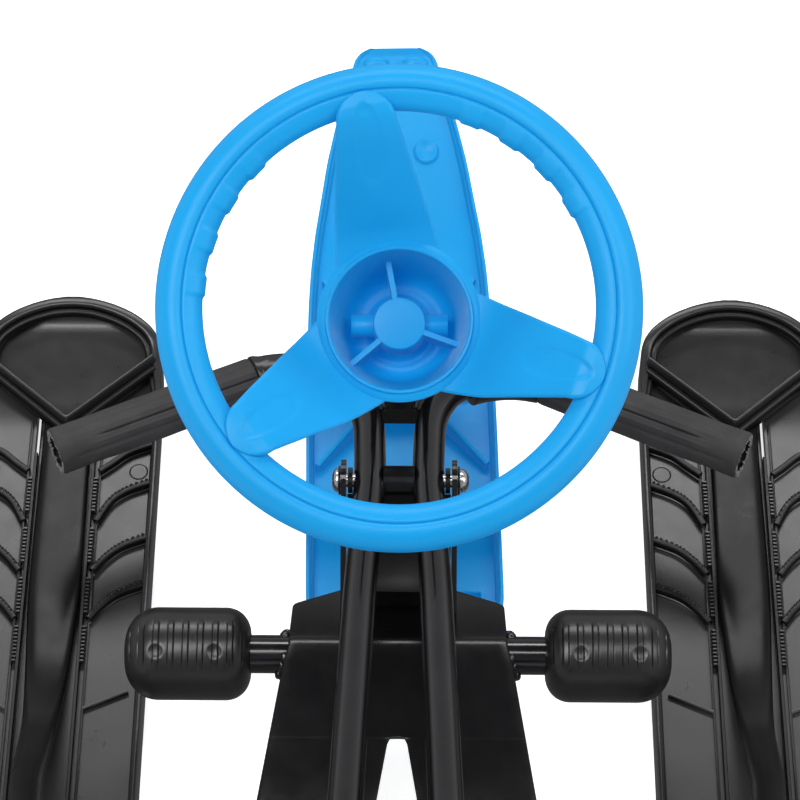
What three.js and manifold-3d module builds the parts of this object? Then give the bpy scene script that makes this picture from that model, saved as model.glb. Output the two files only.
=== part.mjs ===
// Steerable three-ski snow sled for a child: sprung foot brake, padded seat, wheel steering.
// Millimetres, +Z up, +Y towards the nose, X = 0 on the centre plane, the skis stand on Z = 0.
import * as THREE from 'three';
import { toCreasedNormals } from 'three/addons/utils/BufferGeometryUtils.js';
import Module from 'manifold-3d';

const wasm = await Module();
wasm.setup();

// ---------- driving dimensions ----------
const GAP = 0.3;

const SKI_CENTRE = 210;
const SKI_HALF = 58;
const SKI_DECK = 20;
const SKI_WALL = 30;
const CHANNEL_HALF = 17;
const CHANNEL_DEPTH = 3.5;

const TUBE_R = 9.3;
const TUBE_SIDES = 10;

const WHEEL_CENTRE = [0, 129, 300];
const WHEEL_LEAN = THREE.MathUtils.degToRad(30);
const WHEEL_TURN = THREE.MathUtils.degToRad(10.5);
const RIM_OUTER = 130;
const RIM_INNER = 105;
const RIM_SEAM = 115.6;
const HUB_LIP = -48;
const HUB_CUP_R = 39;
const HUB_FLANGE_R = 45;
const HUB_BOSS_R = 15;
const SHAFT_R = 10;
const CROSS_BOLT_DROP = -78;
const SOCKET_R = 6.3;
const SOCKET_END = 27;
const POCKET_FLOOR = 22.5;
const HEAD_TOP = -165;
const HEAD_BOTTOM = -232;
const AXLE_DROP = -286;

const PIVOT_Y = 130;
const PIVOT_Z = 133;
const PEDAL_Y = 35.6;
const PEDAL_Z = 95;
const PEDAL_TUBE_R = 11;
const PEDAL_HALF = 151;
const GRIP_R = 26.5;
const GRIP_IN = 84;
const GRIP_OUT = 156;

const SEAT_FRONT = -205;
const SEAT_BACK = -470;
const SEAT_HALF = 105;
const RAIL_TOP_Z = 241;

// ---------- materials ----------
function paint(color, roughness, metalness) {
  return new THREE.MeshStandardMaterial({ color, roughness, metalness });
}
const BLUE = [0x2b94ec, 0.45, 0];
const GLOSS_BLACK = [0x101012, 0.2, 0.3];
const SKI_BLACK = [0x26262a, 0.45, 0];
const FOAM = [0x333335, 0.95, 0];
const RUBBER = [0x1b1b1d, 0.8, 0];
const ZINC = [0xc6c8cb, 0.3, 1];
const CUSHION = [0x1d1d20, 0.75, 0];
const NYLON = [0x18181a, 0.55, 0];

const group = new THREE.Group();
group.name = 'snow_sled';

function part(name, geometry, finish) {
  const mesh = new THREE.Mesh(toCreasedNormals(geometry, 0.55), paint(...finish));
  mesh.name = name;
  group.add(mesh);
  return mesh;
}

// ---------- solids ----------
function outward(positions, triangles) {
  let volume = 0;
  const a = new THREE.Vector3();
  const b = new THREE.Vector3();
  const c = new THREE.Vector3();
  for (let i = 0; i < triangles.length; i += 3) {
    a.fromArray(positions, triangles[i] * 3);
    b.fromArray(positions, triangles[i + 1] * 3);
    c.fromArray(positions, triangles[i + 2] * 3);
    volume += a.dot(b.cross(c));
  }
  if (volume < 0) triangles.reverse();
  const geometry = new THREE.BufferGeometry();
  geometry.setAttribute('position', new THREE.Float32BufferAttribute(positions, 3));
  geometry.setIndex(triangles);
  return geometry;
}

// Flat cap over a planar ring of points, whatever its outline.
function capTriangles(ring) {
  const normal = new THREE.Vector3();
  ring.forEach((p, i) => {
    const q = ring[(i + 1) % ring.length];
    normal.x += (p[1] - q[1]) * (p[2] + q[2]);
    normal.y += (p[2] - q[2]) * (p[0] + q[0]);
    normal.z += (p[0] - q[0]) * (p[1] + q[1]);
  });
  const size = [Math.abs(normal.x), Math.abs(normal.y), Math.abs(normal.z)];
  const drop = size.indexOf(Math.max(...size));
  const u = (drop + 1) % 3;
  const v = (drop + 2) % 3;
  const flat = ring.map((p) => new THREE.Vector2(p[u], p[v]));
  const faces = THREE.ShapeUtils.triangulateShape(flat, []);
  return normal.getComponent(drop) > 0 ? faces : faces.map((f) => [f[0], f[2], f[1]]);
}

// Closed skin over a row of rings with the same number of points.
function loft(rings) {
  const n = rings[0].length;
  const triangles = [];
  for (let r = 0; r + 1 < rings.length; r += 1) {
    for (let i = 0; i < n; i += 1) {
      const a = r * n + i;
      const b = r * n + ((i + 1) % n);
      triangles.push(a, b, a + n, b, b + n, a + n);
    }
  }
  const last = (rings.length - 1) * n;
  capTriangles(rings[0]).forEach((f) => triangles.push(f[0], f[2], f[1]));
  capTriangles(rings[rings.length - 1]).forEach((f) => triangles.push(last + f[0], last + f[1], last + f[2]));
  return outward(rings.flat(2), triangles);
}

// Rounds the corners of a polyline; each point is [x, y, z, half width, half height].
function bend(points, cut, steps) {
  const path = [points[0]];
  const mix = (p, q, t) => p.map((value, i) => value + (q[i] - value) * t);
  const gap = (p, q) => Math.hypot(p[0] - q[0], p[1] - q[1], p[2] - q[2]);
  for (let i = 1; i + 1 < points.length; i += 1) {
    const p = points[i];
    const before = Math.min(0.48, cut / gap(p, points[i - 1]));
    const after = Math.min(0.48, cut / gap(p, points[i + 1]));
    const a = mix(p, points[i - 1], before);
    const b = mix(p, points[i + 1], after);
    for (let k = 0; k <= steps; k += 1) {
      const t = k / steps;
      path.push(mix(mix(a, p, t), mix(p, b, t), t));
    }
  }
  path.push(points[points.length - 1]);
  return path;
}

// Round or flattened bar along a path, its wide side kept level.
function sweep(path, sides, grow = 0) {
  const up = new THREE.Vector3(0, 0, 1);
  const rings = path.map((p, i) => {
    const q0 = path[Math.max(0, i - 1)];
    const q1 = path[Math.min(path.length - 1, i + 1)];
    const along = new THREE.Vector3(q1[0] - q0[0], q1[1] - q0[1], q1[2] - q0[2]).normalize();
    const side = new THREE.Vector3().crossVectors(along, up).normalize();
    const top = new THREE.Vector3().crossVectors(side, along);
    return Array.from({ length: sides }, (_, k) => {
      const angle = (k / sides) * Math.PI * 2;
      const w = Math.cos(angle) * (p[3] + grow);
      const h = Math.sin(angle) * (p[4] + grow);
      return [0, 1, 2].map((c) => p[c] + side.getComponent(c) * w + top.getComponent(c) * h);
    });
  });
  return loft(rings);
}

function round(points, radius = TUBE_R) {
  return points.map((p) => [...p, radius, radius]);
}

// Turned part about the X axis from a profile of [radius, x] pairs.
function turnedX(profile, at, segments = 18) {
  const points = profile.map((p) => new THREE.Vector2(p[0], p[1]));
  const geometry = new THREE.LatheGeometry(points, segments);
  geometry.rotateZ(-Math.PI / 2);
  geometry.translate(...at);
  return outwardGeometry(geometry);
}

// Turned part about the steering axis, in wheel coordinates.
function turnedWheel(profile, segments = 32) {
  const points = profile.map((p) => new THREE.Vector2(p[0], p[1]));
  const geometry = new THREE.LatheGeometry(points, segments);
  geometry.rotateX(Math.PI / 2);
  return outwardGeometry(geometry);
}

// Merges equal corners, drops empty triangles and faces the skin outward.
function outwardGeometry(geometry) {
  const source = geometry.getAttribute('position');
  const index = geometry.getIndex();
  const lookup = new Map();
  const positions = [];
  const at = (i) => {
    const p = [source.getX(i), source.getY(i), source.getZ(i)];
    const key = p.map((v) => Math.round(v * 2000)).join(' ');
    if (!lookup.has(key)) {
      lookup.set(key, positions.length / 3);
      positions.push(...p);
    }
    return lookup.get(key);
  };
  const triangles = [];
  const count = index ? index.count : source.count;
  for (let i = 0; i < count; i += 3) {
    const [a, b, c] = [0, 1, 2].map((k) => at(index ? index.getX(i + k) : i + k));
    if (a !== b && b !== c && c !== a) triangles.push(a, b, c);
  }
  return outward(positions, triangles);
}

function solid(geometry) {
  const merged = outwardGeometry(geometry);
  return new wasm.Manifold(new wasm.Mesh({
    numProp: 3,
    vertProperties: new Float32Array(merged.getAttribute('position').array),
    triVerts: new Uint32Array(merged.getIndex().array),
  }));
}

function shell(manifold) {
  const mesh = manifold.getMesh();
  const geometry = new THREE.BufferGeometry();
  geometry.setAttribute('position', new THREE.BufferAttribute(new Float32Array(mesh.vertProperties), 3));
  geometry.setIndex(new THREE.BufferAttribute(new Uint32Array(mesh.triVerts), 1));
  return geometry;
}

function box(x0, x1, y0, y1, z0, z1) {
  const geometry = new THREE.BoxGeometry(x1 - x0, y1 - y0, z1 - z0);
  geometry.translate((x0 + x1) / 2, (y0 + y1) / 2, (z0 + z1) / 2);
  return geometry;
}

function rodX(radius, x0, x1, y, z, segments = 18) {
  return turnedX([[0, x0], [radius, x0], [radius, x1], [0, x1]], [0, y, z], segments);
}

function rodZ(radius, x, y, z0, z1, segments = 16) {
  const geometry = new THREE.CylinderGeometry(radius, radius, z1 - z0, segments);
  geometry.rotateX(Math.PI / 2);
  geometry.translate(x, y, (z0 + z1) / 2);
  return geometry;
}

function ringX(outer, inner, x0, x1, y, z, segments = 18) {
  const low = Math.min(x0, x1);
  const high = Math.max(x0, x1);
  const profile = [[inner, low], [outer, low], [outer, high], [inner, high], [inner, low]];
  return turnedX(profile, [0, y, z], segments);
}

// Puts a solid built in wheel coordinates onto the leaning steering axis.
function onAxis(geometry) {
  geometry.rotateX(WHEEL_LEAN);
  geometry.translate(...WHEEL_CENTRE);
  return geometry;
}

function mirrored(geometry) {
  const copy = geometry.clone();
  copy.scale(-1, 1, 1);
  return outwardGeometry(copy);
}

function pair(name, rightGeometry, finish) {
  part(`left_${name}`, mirrored(rightGeometry), finish);
  part(`right_${name}`, rightGeometry, finish);
}

// ---------- frame: main tubes, which turn out into the foot rests ----------
const ARM_BEND = [76, 227, 104];
const ARM_END = [203, 170.5, 102];
const mainPath = bend(round([
  [29, -455, RAIL_TOP_Z],
  [28, -197, RAIL_TOP_Z],
  [21, 40, 162.7],
  [16.6, 130, 133],
  [18.2, 190, 113.5],
  [34, 220, 104],
  ARM_BEND,
  ARM_END,
]), 22, 3);
const mainTube = sweep(mainPath, TUBE_SIDES);
const mainRoom = solid(sweep(mainPath, TUBE_SIDES, GAP + 0.2));
const pivotHole = solid(rodX(4.4, -60, 60, PIVOT_Y, PIVOT_Z));
pair('main_tube', shell(solid(mainTube).subtract(pivotHole)), GLOSS_BLACK);

const armEnd = new THREE.Vector3(...ARM_END);
const armStart = new THREE.Vector3(...ARM_BEND);
const armAlong = armEnd.clone().sub(armStart).normalize();
const SLEEVE_R = 14;
const foamLength = 129;
const foam = new THREE.LatheGeometry([
  [TUBE_R + 1, 0],
  [12.6, 0],
  [SLEEVE_R, 1.5],
  [SLEEVE_R, foamLength - 1.5],
  [12.8, foamLength],
  [TUBE_R + 1, foamLength],
  [TUBE_R + 1, 0],
].map((p) => new THREE.Vector2(...p)), 20);
foam.applyQuaternion(new THREE.Quaternion().setFromUnitVectors(new THREE.Vector3(0, 1, 0), armAlong));
const foamEnd = armEnd.clone().addScaledVector(armAlong, 3).addScaledVector(armAlong, -foamLength);
foam.translate(foamEnd.x, foamEnd.y, foamEnd.z);
pair('foot_foam', outwardGeometry(foam), FOAM);

// Rubber sleeve over each bend, inboard of the foam.
const SLEEVE_IN = 40;
const sleeveEnd = foamEnd.clone().addScaledVector(armAlong, -GAP);
const sleevePath = mainPath.filter((p) => p[1] > 195 && p[0] > SLEEVE_IN && p[0] < armEnd.x);
sleevePath.push([armEnd.x, armEnd.y, armEnd.z, TUBE_R, TUBE_R]);
const sleeve = solid(sweep(sleevePath, 16, SLEEVE_R - TUBE_R)).subtract(mainRoom)
  .trimByPlane(armAlong.clone().negate().toArray(), -armAlong.dot(sleeveEnd));
pair('arm_sleeve', shell(sleeve), RUBBER);

// ---------- frame: steering head ----------
function axisRing(outer, inner, low, high) {
  return turnedWheel([[inner, low], [outer, low], [outer, high], [inner, high], [inner, low]], 20);
}
part('head_tube', onAxis(axisRing(14, SHAFT_R + 0.5, HEAD_BOTTOM, HEAD_TOP)), GLOSS_BLACK);
part('upper_head_bush', onAxis(axisRing(16, SHAFT_R + 0.3, HEAD_TOP + GAP, HEAD_TOP + 4)), NYLON);
part('lower_head_bush', onAxis(axisRing(16, SHAFT_R + 0.3, HEAD_BOTTOM - 4, HEAD_BOTTOM - GAP)), NYLON);

const headRoom = solid(onAxis(turnedWheel([
  [0, HEAD_BOTTOM - 30],
  [14 + GAP, HEAD_BOTTOM - 30],
  [14 + GAP, HEAD_TOP + 30],
  [0, HEAD_TOP + 30],
], 28)));
const gussetRings = [[190, 17, 104, 119], [212, 26, 97, 117], [232, 30, 100, 122]].map(
  ([y, half, low, high]) => [[-half, y, low], [half, y, low], [half, y, high], [-half, y, high]],
);
const leftRoom = solid(mirrored(sweep(mainPath, TUBE_SIDES, GAP + 0.2)));
const gusset = solid(loft(gussetRings)).subtract(mainRoom).subtract(leftRoom).subtract(headRoom);
const gussetCore = gusset.decompose().sort((a, b) => b.volume() - a.volume())[0];
part('head_gusset', shell(gussetCore), GLOSS_BLACK);

// ---------- frame: pivot of the foot brake ----------
part('pivot_sleeve', shell(solid(ringX(8.7, 4.4, -9, 9, PIVOT_Y, PIVOT_Z))
  .subtract(mainRoom).subtract(leftRoom)
  .decompose().sort((a, b) => b.volume() - a.volume())[0]), GLOSS_BLACK);
pair('pivot_boss', ringX(7.5, 4.4, 26.8, 29.6, PIVOT_Y, PIVOT_Z), GLOSS_BLACK);
pair('pivot_washer', ringX(8.5, 4.4, 33.9, 35.1, PIVOT_Y, PIVOT_Z), GLOSS_BLACK);
part('pivot_bolt', turnedX([
  [0, -38.5], [4, -38.5], [4, 35.4], [7, 35.4], [7, 37.4], [5.6, 39.4], [2.6, 40.4], [0, 40.6],
], [0, PIVOT_Y, PIVOT_Z]), ZINC);
part('pivot_nut', turnedX([
  [4.3, -35.4], [7, -35.4], [7, -38], [5.6, -40], [2.4, -41], [0, -41.2],
  [0, -39.2], [4.3, -39.2], [4.3, -35.4],
], [0, PIVOT_Y, PIVOT_Z]), ZINC);

// ---------- frame: side rails from ski to seat and back down to the ski ----------
const FOOT_Z = SKI_DECK - CHANNEL_DEPTH + 4.4;
const railPath = bend([
  [SKI_CENTRE, 250, FOOT_Z, 15, 3.6],
  [SKI_CENTRE, 120, FOOT_Z, 16, 3.8],
  [SKI_CENTRE, 62, FOOT_Z + 1.5, 13, 5.5],
  [SKI_CENTRE, 22, 33, 10.2, 8.6],
  [SKI_CENTRE, -33, 70, TUBE_R, TUBE_R],
  [203, -84, 112, TUBE_R, TUBE_R],
  [124, -190, 205, TUBE_R, TUBE_R],
  [84, -240, RAIL_TOP_Z, TUBE_R, TUBE_R],
  [84, -350, RAIL_TOP_Z, TUBE_R, TUBE_R],
  [124, -392, 196, TUBE_R, TUBE_R],
  [204, -410, 80, TUBE_R, TUBE_R],
  [SKI_CENTRE, -418, 44, TUBE_R, TUBE_R],
  [SKI_CENTRE, -429, FOOT_Z + 2, 13, 5.5],
  [SKI_CENTRE, -441, FOOT_Z, 15, 3.6],
  [SKI_CENTRE, -470, FOOT_Z, 15, 3.6],
], 20, 2);
const BOLT_ROWS = [['front', 221], ['rear', -458]];
const boltHoles = BOLT_ROWS.map(([, y]) => solid(rodZ(3.5, SKI_CENTRE, y, -10, 60)));
const rail = boltHoles.reduce((body, hole) => body.subtract(hole), solid(sweep(railPath, TUBE_SIDES)));
pair('side_rail', shell(rail), GLOSS_BLACK);

const CROSS_Z = RAIL_TOP_Z - TUBE_R - 9 - GAP;
[['front', -274], ['rear', -314]].forEach(([name, y]) => {
  part(`${name}_cross_tube`, rodX(9, -98, 98, y, CROSS_Z, TUBE_SIDES), GLOSS_BLACK);
});

// ---------- seat ----------
function roundedSlab(half, front, back, corner, rows) {
  const shape = (inset) => {
    const x = half - inset;
    const points = [];
    const centres = [
      [x - corner, front - inset - corner, 0],
      [-x + corner, front - inset - corner, 90],
      [-x + corner, back + inset + corner, 180],
      [x - corner, back + inset + corner, 270],
    ];
    centres.forEach(([cx, cy, start]) => {
      for (let k = 0; k <= 4; k += 1) {
        const angle = THREE.MathUtils.degToRad(start + k * 22.5);
        points.push([cx + Math.cos(angle) * corner, cy + Math.sin(angle) * corner]);
      }
    });
    return points;
  };
  return loft(rows.map(([inset, z]) => shape(inset).map(([x, y]) => [x, y, z])));
}
const BOARD_Z = RAIL_TOP_Z + TUBE_R + GAP;
part('seat_board', roundedSlab(SEAT_HALF - 6, SEAT_FRONT - 6, SEAT_BACK + 6, 38, [
  [1, BOARD_Z], [0, BOARD_Z + 1], [0, BOARD_Z + 9], [1, BOARD_Z + 10],
]), NYLON);
part('seat_cushion', roundedSlab(SEAT_HALF, SEAT_FRONT, SEAT_BACK, 42, [
  [5, BOARD_Z + 10.4], [0, BOARD_Z + 17], [0, BOARD_Z + 34],
  [4, BOARD_Z + 43], [14, BOARD_Z + 48], [30, BOARD_Z + 50],
]), CUSHION);

// ---------- side skis ----------
// One ski cross-section: two keels below, a sunk deck and a central channel above.
function skiRing(x0, y, half, lift, sink, channel) {
  const wall = SKI_WALL + lift;
  const deck = wall - sink;
  const inner = Math.max(half - 5, half * 0.45);
  const keel = Math.min(14, half * 0.35);
  const tunnel = lift > 12 ? 3 : 12 - Math.min(9, lift);
  const low = channel > 0 ? CHANNEL_DEPTH : 0.5;
  const groove = Math.min(CHANNEL_HALF, half * 0.3);
  return [
    [half, wall], [inner + 1.5, wall], [inner, deck], [groove, deck], [groove, deck - low],
    [-groove, deck - low], [-groove, deck], [-inner, deck], [-inner - 1.5, wall], [-half, wall],
    [-half + 1, lift], [-half + keel, lift], [-half + keel + 3, lift + tunnel],
    [half - keel - 3, lift + tunnel], [half - keel, lift], [half - 1, lift],
  ].map(([x, z]) => [x0 + x, y, z]);
}
const DECK_SINK = SKI_WALL - SKI_DECK;
const sideStations = [
  [-500, 44, 5, 6, 0], [-494, 53, 3, 9, 0], [-482, 57.5, 1, DECK_SINK, 1], [-460, SKI_HALF, 0, DECK_SINK, 1],
  [252, SKI_HALF, 0, DECK_SINK, 1], [268, SKI_HALF, 2.8, DECK_SINK, 1], [283, SKI_HALF, 5.8, DECK_SINK, 0],
  [295, 56.8, 9, DECK_SINK, 0], [303, 53.6, 12, DECK_SINK, 0], [310, 46.5, 14.4, DECK_SINK, 0],
  [317, 35, 17, DECK_SINK, 0], [321.6, 21.5, 18.6, 5, 0], [324.5, 10, 20, 2, 0],
];
let sideSki = solid(loft(sideStations.map(([y, half, lift, sink, channel]) =>
  skiRing(SKI_CENTRE, y, half, lift, sink, channel))));

function deckRib(x0, y0, x1, y1, wide, z0, z1) {
  const length = Math.hypot(x1 - x0, y1 - y0);
  const bar = new THREE.BoxGeometry(length, wide, z1 - z0);
  bar.rotateZ(Math.atan2(y1 - y0, x1 - x0));
  bar.translate((x0 + x1) / 2, (y0 + y1) / 2, (z0 + z1) / 2);
  return solid(bar);
}
const CHEVRON_ROWS = [[228, 208], [199, 171], [158.6, 135], [124.8, 101]];
[-1, 1].forEach((side) => {
  CHEVRON_ROWS.forEach(([wallY, channelY]) => {
    const inner = SKI_CENTRE + side * (CHANNEL_HALF + 3);
    const outer = SKI_CENTRE + side * (SKI_HALF - 4);
    sideSki = sideSki.add(deckRib(inner, channelY, outer, wallY, 3, SKI_DECK - 2, SKI_DECK + 4));
  });
  const slotX = SKI_CENTRE + side * 19.5;
  sideSki = sideSki.subtract(solid(box(slotX - 1.2, slotX + 1.2, 222, 250, -5, 60)));
  const lipEnd = SKI_CENTRE + side * (SKI_HALF - 3);
  const lipStart = SKI_CENTRE + side * (CHANNEL_HALF + 4);
  sideSki = sideSki.add(deckRib(lipStart, 257, lipEnd, 283, 5, SKI_DECK - 2, SKI_DECK + 7));
});
boltHoles.forEach((hole) => {
  sideSki = sideSki.subtract(hole);
});
pair('side_ski', shell(sideSki), SKI_BLACK);

BOLT_ROWS.forEach(([row, y]) => {
  const top = FOOT_Z + 3.8 + GAP;
  const bolt = new THREE.LatheGeometry([
    [0, 5], [3.2, 5], [3.2, top], [7, top], [6.4, top + 2.4], [3.6, top + 4], [0, top + 4.4],
  ].map((p) => new THREE.Vector2(...p)), 14);
  bolt.rotateX(Math.PI / 2);
  bolt.translate(SKI_CENTRE, y, 0);
  pair(`${row}_ski_bolt`, outwardGeometry(bolt), ZINC);
});

// ---------- steering wheel ----------
part('wheel_rim', onAxis(turnedWheel([
  [RIM_INNER, -6], [109, -10.5], [119, -11.2], [127, -6.5], [RIM_OUTER, 0],
  [127.6, 6.4], [122.5, 10.2], [RIM_SEAM + 0.8, 11],
  [RIM_SEAM, 7], [107, 7], [RIM_INNER, 4.5], [RIM_INNER, -6],
], 40)), BLUE);

// Spoke blade: radius, half width, height of its front face, thickness.
const spokeRows = [
  [34, 29.5, -49.5, 5], [46, 28, -48.5, 4.5], [60, 25.2, -34, 4.2], [74, 22.2, -18, 4], [88, 19, -3, 4],
  [97, 16.8, 5.6, 4], [103, 15.6, 9.3, 3.2], [107, 13.8, 10.5, 3], [111, 10.6, 10.8, 3.2],
  [113.8, 6.4, 10.8, 3.2], [115.2, 2.2, 10.8, 3.2],
];
const spoke = loft(spokeRows.map(([radius, half, front, thick]) => {
  const crown = [-1, -0.6, 0, 0.6, 1].map((f) => [f * half, radius, front - 1.2 * Math.abs(f) ** 3]);
  const under = [1, 0, -1].map((f) => [f * half, radius, Math.max(front - thick, radius > 101 ? 7.3 : -99)]);
  return [...crown, ...under];
}));
function spokeAt(index, geometry) {
  const copy = geometry.clone();
  copy.rotateZ(WHEEL_TURN - (index * Math.PI * 2) / 3);
  return solid(copy);
}
let spider = solid(turnedWheel([
  [0, HUB_LIP + 1.6], [41, HUB_LIP + 1.6], [42.4, HUB_LIP + 0.4], [HUB_FLANGE_R, HUB_LIP - 1.5],
  [HUB_FLANGE_R, HUB_LIP - 5], [41.8, HUB_LIP - 7], [34, -96],
  [HUB_BOSS_R, -97], [HUB_BOSS_R, -112], [0, -112],
], 24));
[0, 1, 2].forEach((i) => {
  spider = spider.add(spokeAt(i, spoke));
});
spider = spider.subtract(solid(turnedWheel([
  [0, -91], [29, -91], [31, -89], [HUB_CUP_R, HUB_LIP], [HUB_CUP_R + 0.4, HUB_LIP + 30], [0, HUB_LIP + 30],
], 24)));
const hubFill = [solid(turnedWheel([[0, -93], [HUB_BOSS_R, -93], [HUB_BOSS_R - 0.6, -67], [0, -66]], 16))];
[0, 1, 2].forEach((i) => {
  hubFill.push(spokeAt(i, box(-1.5, 1.5, 12, 36, -92, -66.5)));
});
[-1, 1].forEach((side) => {
  const socket = rodX(SOCKET_R, 12, SOCKET_END, 0, 0, 16);
  if (side < 0) socket.scale(-1, 1, 1);
  socket.translate(0, 0, CROSS_BOLT_DROP);
  hubFill.push(solid(socket));
});
const cupBody = solid(turnedWheel([[0, -94], [33, -94], [40, HUB_LIP - 2], [0, HUB_LIP - 2]], 24));
hubFill.forEach((piece) => {
  spider = spider.add(piece.intersect(cupBody));
});
const shaftBore = turnedWheel([[0, -120], [SHAFT_R + 0.3, -120], [SHAFT_R + 0.4, -72], [0, -72]], 20);
const crossHole = solid(rodX(2.8, -SOCKET_END - 1, SOCKET_END + 1, 0, CROSS_BOLT_DROP, 16));
const headPocket = solid(rodX(4.7, POCKET_FLOOR, SOCKET_END + 1, 0, CROSS_BOLT_DROP, 16));
const nutPocket = solid(rodX(4.7, -SOCKET_END - 1, -POCKET_FLOOR, 0, CROSS_BOLT_DROP, 16));
spider = spider.subtract(solid(shaftBore)).subtract(crossHole).subtract(headPocket).subtract(nutPocket);
part('wheel_spider', onAxis(shell(spider)), BLUE);

part('hub_cross_bolt', onAxis(turnedX([
  [0, -SOCKET_END], [2.5, -SOCKET_END], [2.5, POCKET_FLOOR + GAP], [4.2, POCKET_FLOOR + GAP],
  [4.2, SOCKET_END - 1], [3, SOCKET_END - 0.4], [0, SOCKET_END - 0.4],
], [0, 0, CROSS_BOLT_DROP], 16)), ZINC);
const nutFace = -POCKET_FLOOR - GAP;
part('hub_cross_nut', onAxis(ringX(4.2, 2.9, nutFace - 3.2, nutFace, 0, CROSS_BOLT_DROP, 6)), ZINC);

const shaftTop = -72 - GAP;
const crownTop = HEAD_BOTTOM - 4 - GAP - 1;
const shaft = solid(turnedWheel([
  [0, crownTop - 14], [8, crownTop - 14], [8, crownTop - 2], [SHAFT_R, crownTop - 2],
  [SHAFT_R, shaftTop - 1], [SHAFT_R - 1, shaftTop], [0, shaftTop],
], 20));
part('steering_shaft', onAxis(shell(shaft.subtract(crossHole))), GLOSS_BLACK);
part('shaft_collar', onAxis(axisRing(14, SHAFT_R + 0.3, HEAD_TOP + 4 + GAP, HEAD_TOP + 12)), ZINC);

// ---------- fork that carries the front ski ----------
const forkPlate = solid(box(-25, 25, -13, 13, crownTop - 10, crownTop - 2 - GAP));
const forkHole = solid(turnedWheel([[0, -400], [8.3, -400], [8.3, 0], [0, 0]], 28));
const prong = new THREE.Shape();
prong.moveTo(-13, crownTop - 9);
prong.lineTo(-9, AXLE_DROP);
prong.absarc(0, AXLE_DROP, 9, Math.PI, Math.PI * 2, false);
prong.lineTo(13, crownTop - 9);
const axleHole = new THREE.Path();
axleHole.absarc(0, AXLE_DROP, 4.5, 0, Math.PI * 2, true);
prong.holes.push(axleHole);
let fork = forkPlate;
[21, -25].forEach((x) => {
  const blade = new THREE.ExtrudeGeometry(prong, { depth: 4, bevelEnabled: false, curveSegments: 6 });
  const basis = new THREE.Matrix4().makeBasis(
    new THREE.Vector3(0, 1, 0), new THREE.Vector3(0, 0, 1), new THREE.Vector3(1, 0, 0),
  );
  blade.applyMatrix4(basis);
  blade.translate(x, 0, 0);
  fork = fork.add(solid(blade));
});
part('ski_fork', onAxis(shell(fork.subtract(forkHole))), GLOSS_BLACK);

const AXLE_Y = WHEEL_CENTRE[1] - AXLE_DROP * Math.sin(WHEEL_LEAN);
const AXLE_Z = WHEEL_CENTRE[2] + AXLE_DROP * Math.cos(WHEEL_LEAN);
part('ski_axle_bolt', turnedX([
  [0, -33.5], [4, -33.5], [4, 25.4], [7, 25.4], [6.4, 28], [3.4, 29.8], [0, 30.2],
], [0, AXLE_Y, AXLE_Z]), ZINC);
part('ski_axle_nut', ringX(7.6, 5, -32, -25.4, AXLE_Y, AXLE_Z, 6), ZINC);
pair('ski_axle_bush', ringX(8, 4.5, 16.3, 20.6, AXLE_Y, AXLE_Z), NYLON);

// ---------- front ski ----------
const frontStations = [
  [90, 46, 4, 6], [95, 55, 2, 9], [112, 60, 0, DECK_SINK], [240, 60, 0, DECK_SINK], [335, 58.5, 2, DECK_SINK],
  [372, 55.5, 9, DECK_SINK], [402, 51, 18, DECK_SINK], [430, 46, 29, 9], [456, 39.5, 40, 8],
  [478, 32, 50.5, 6], [492, 27, 57.5, 3], [500, 21, 62, 1.5],
];
let frontSki = solid(loft(frontStations.map(([y, half, lift, sink]) => skiRing(0, y, half, lift, sink, 0))));
const saddle = new THREE.Shape();
saddle.moveTo(AXLE_Y - 24, SKI_DECK - 3);
saddle.lineTo(AXLE_Y + 24, SKI_DECK - 3);
saddle.lineTo(AXLE_Y + 10.5, AXLE_Z);
saddle.absarc(AXLE_Y, AXLE_Z, 10.5, 0, Math.PI, false);
const saddleHole = new THREE.Path();
saddleHole.absarc(AXLE_Y, AXLE_Z, 4.5, 0, Math.PI * 2, true);
saddle.holes.push(saddleHole);
const saddleBody = new THREE.ExtrudeGeometry(saddle, { depth: 32, bevelEnabled: false, curveSegments: 10 });
saddleBody.applyMatrix4(new THREE.Matrix4().makeBasis(
  new THREE.Vector3(0, 1, 0), new THREE.Vector3(0, 0, 1), new THREE.Vector3(1, 0, 0),
));
saddleBody.translate(-16, 0, 0);
frontSki = frontSki.add(solid(saddleBody));
[-1, 1].forEach((side) => {
  frontSki = frontSki.add(deckRib(side * 12, AXLE_Y - 20, side * 52, 150, 4, SKI_DECK - 2, SKI_DECK + 6));
  frontSki = frontSki.add(deckRib(side * 12, AXLE_Y + 20, side * 50, 360, 4, SKI_DECK - 2, SKI_DECK + 6));
});
part('front_ski', shell(frontSki), BLUE);

// ---------- foot brake ----------
const plateRows = [
  [91, 31, 77], [75, 61.5, 86.1], [PEDAL_Y, 62.5, 109.2], [24, 65, 108.2], [-57, 77.6, 97], [-150, 93, 72],
];
const plateRings = plateRows.map(([y, half, z]) => [
  [-half, y, z - 8], [-half, y, z + 1.2], [half, y, z + 1.2], [half, y, z - 8],
  [half - 2.4, y, z - 8], [half - 2.4, y, z - 1.2], [-half + 2.4, y, z - 1.2], [-half + 2.4, y, z - 8],
]);
const notch = new THREE.Shape();
notch.moveTo(-5.5, -25);
notch.quadraticCurveTo(-5, -21.5, -3, -21.5);
notch.lineTo(3, -21.5);
notch.quadraticCurveTo(5, -21.5, 5.5, -25);
notch.lineTo(27.5, -152);
notch.lineTo(-27.5, -152);
const notchCut = new THREE.ExtrudeGeometry(notch, { depth: 100, bevelEnabled: false, curveSegments: 6 });
notchCut.translate(0, 0, 40);
const pedalRoom = solid(rodX(PEDAL_TUBE_R + GAP, -200, 200, PEDAL_Y, PEDAL_Z));
const springHoles = [-1, 1].map((side) => solid(rodZ(2.4, side * 62, -132, 40, 120)));
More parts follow.
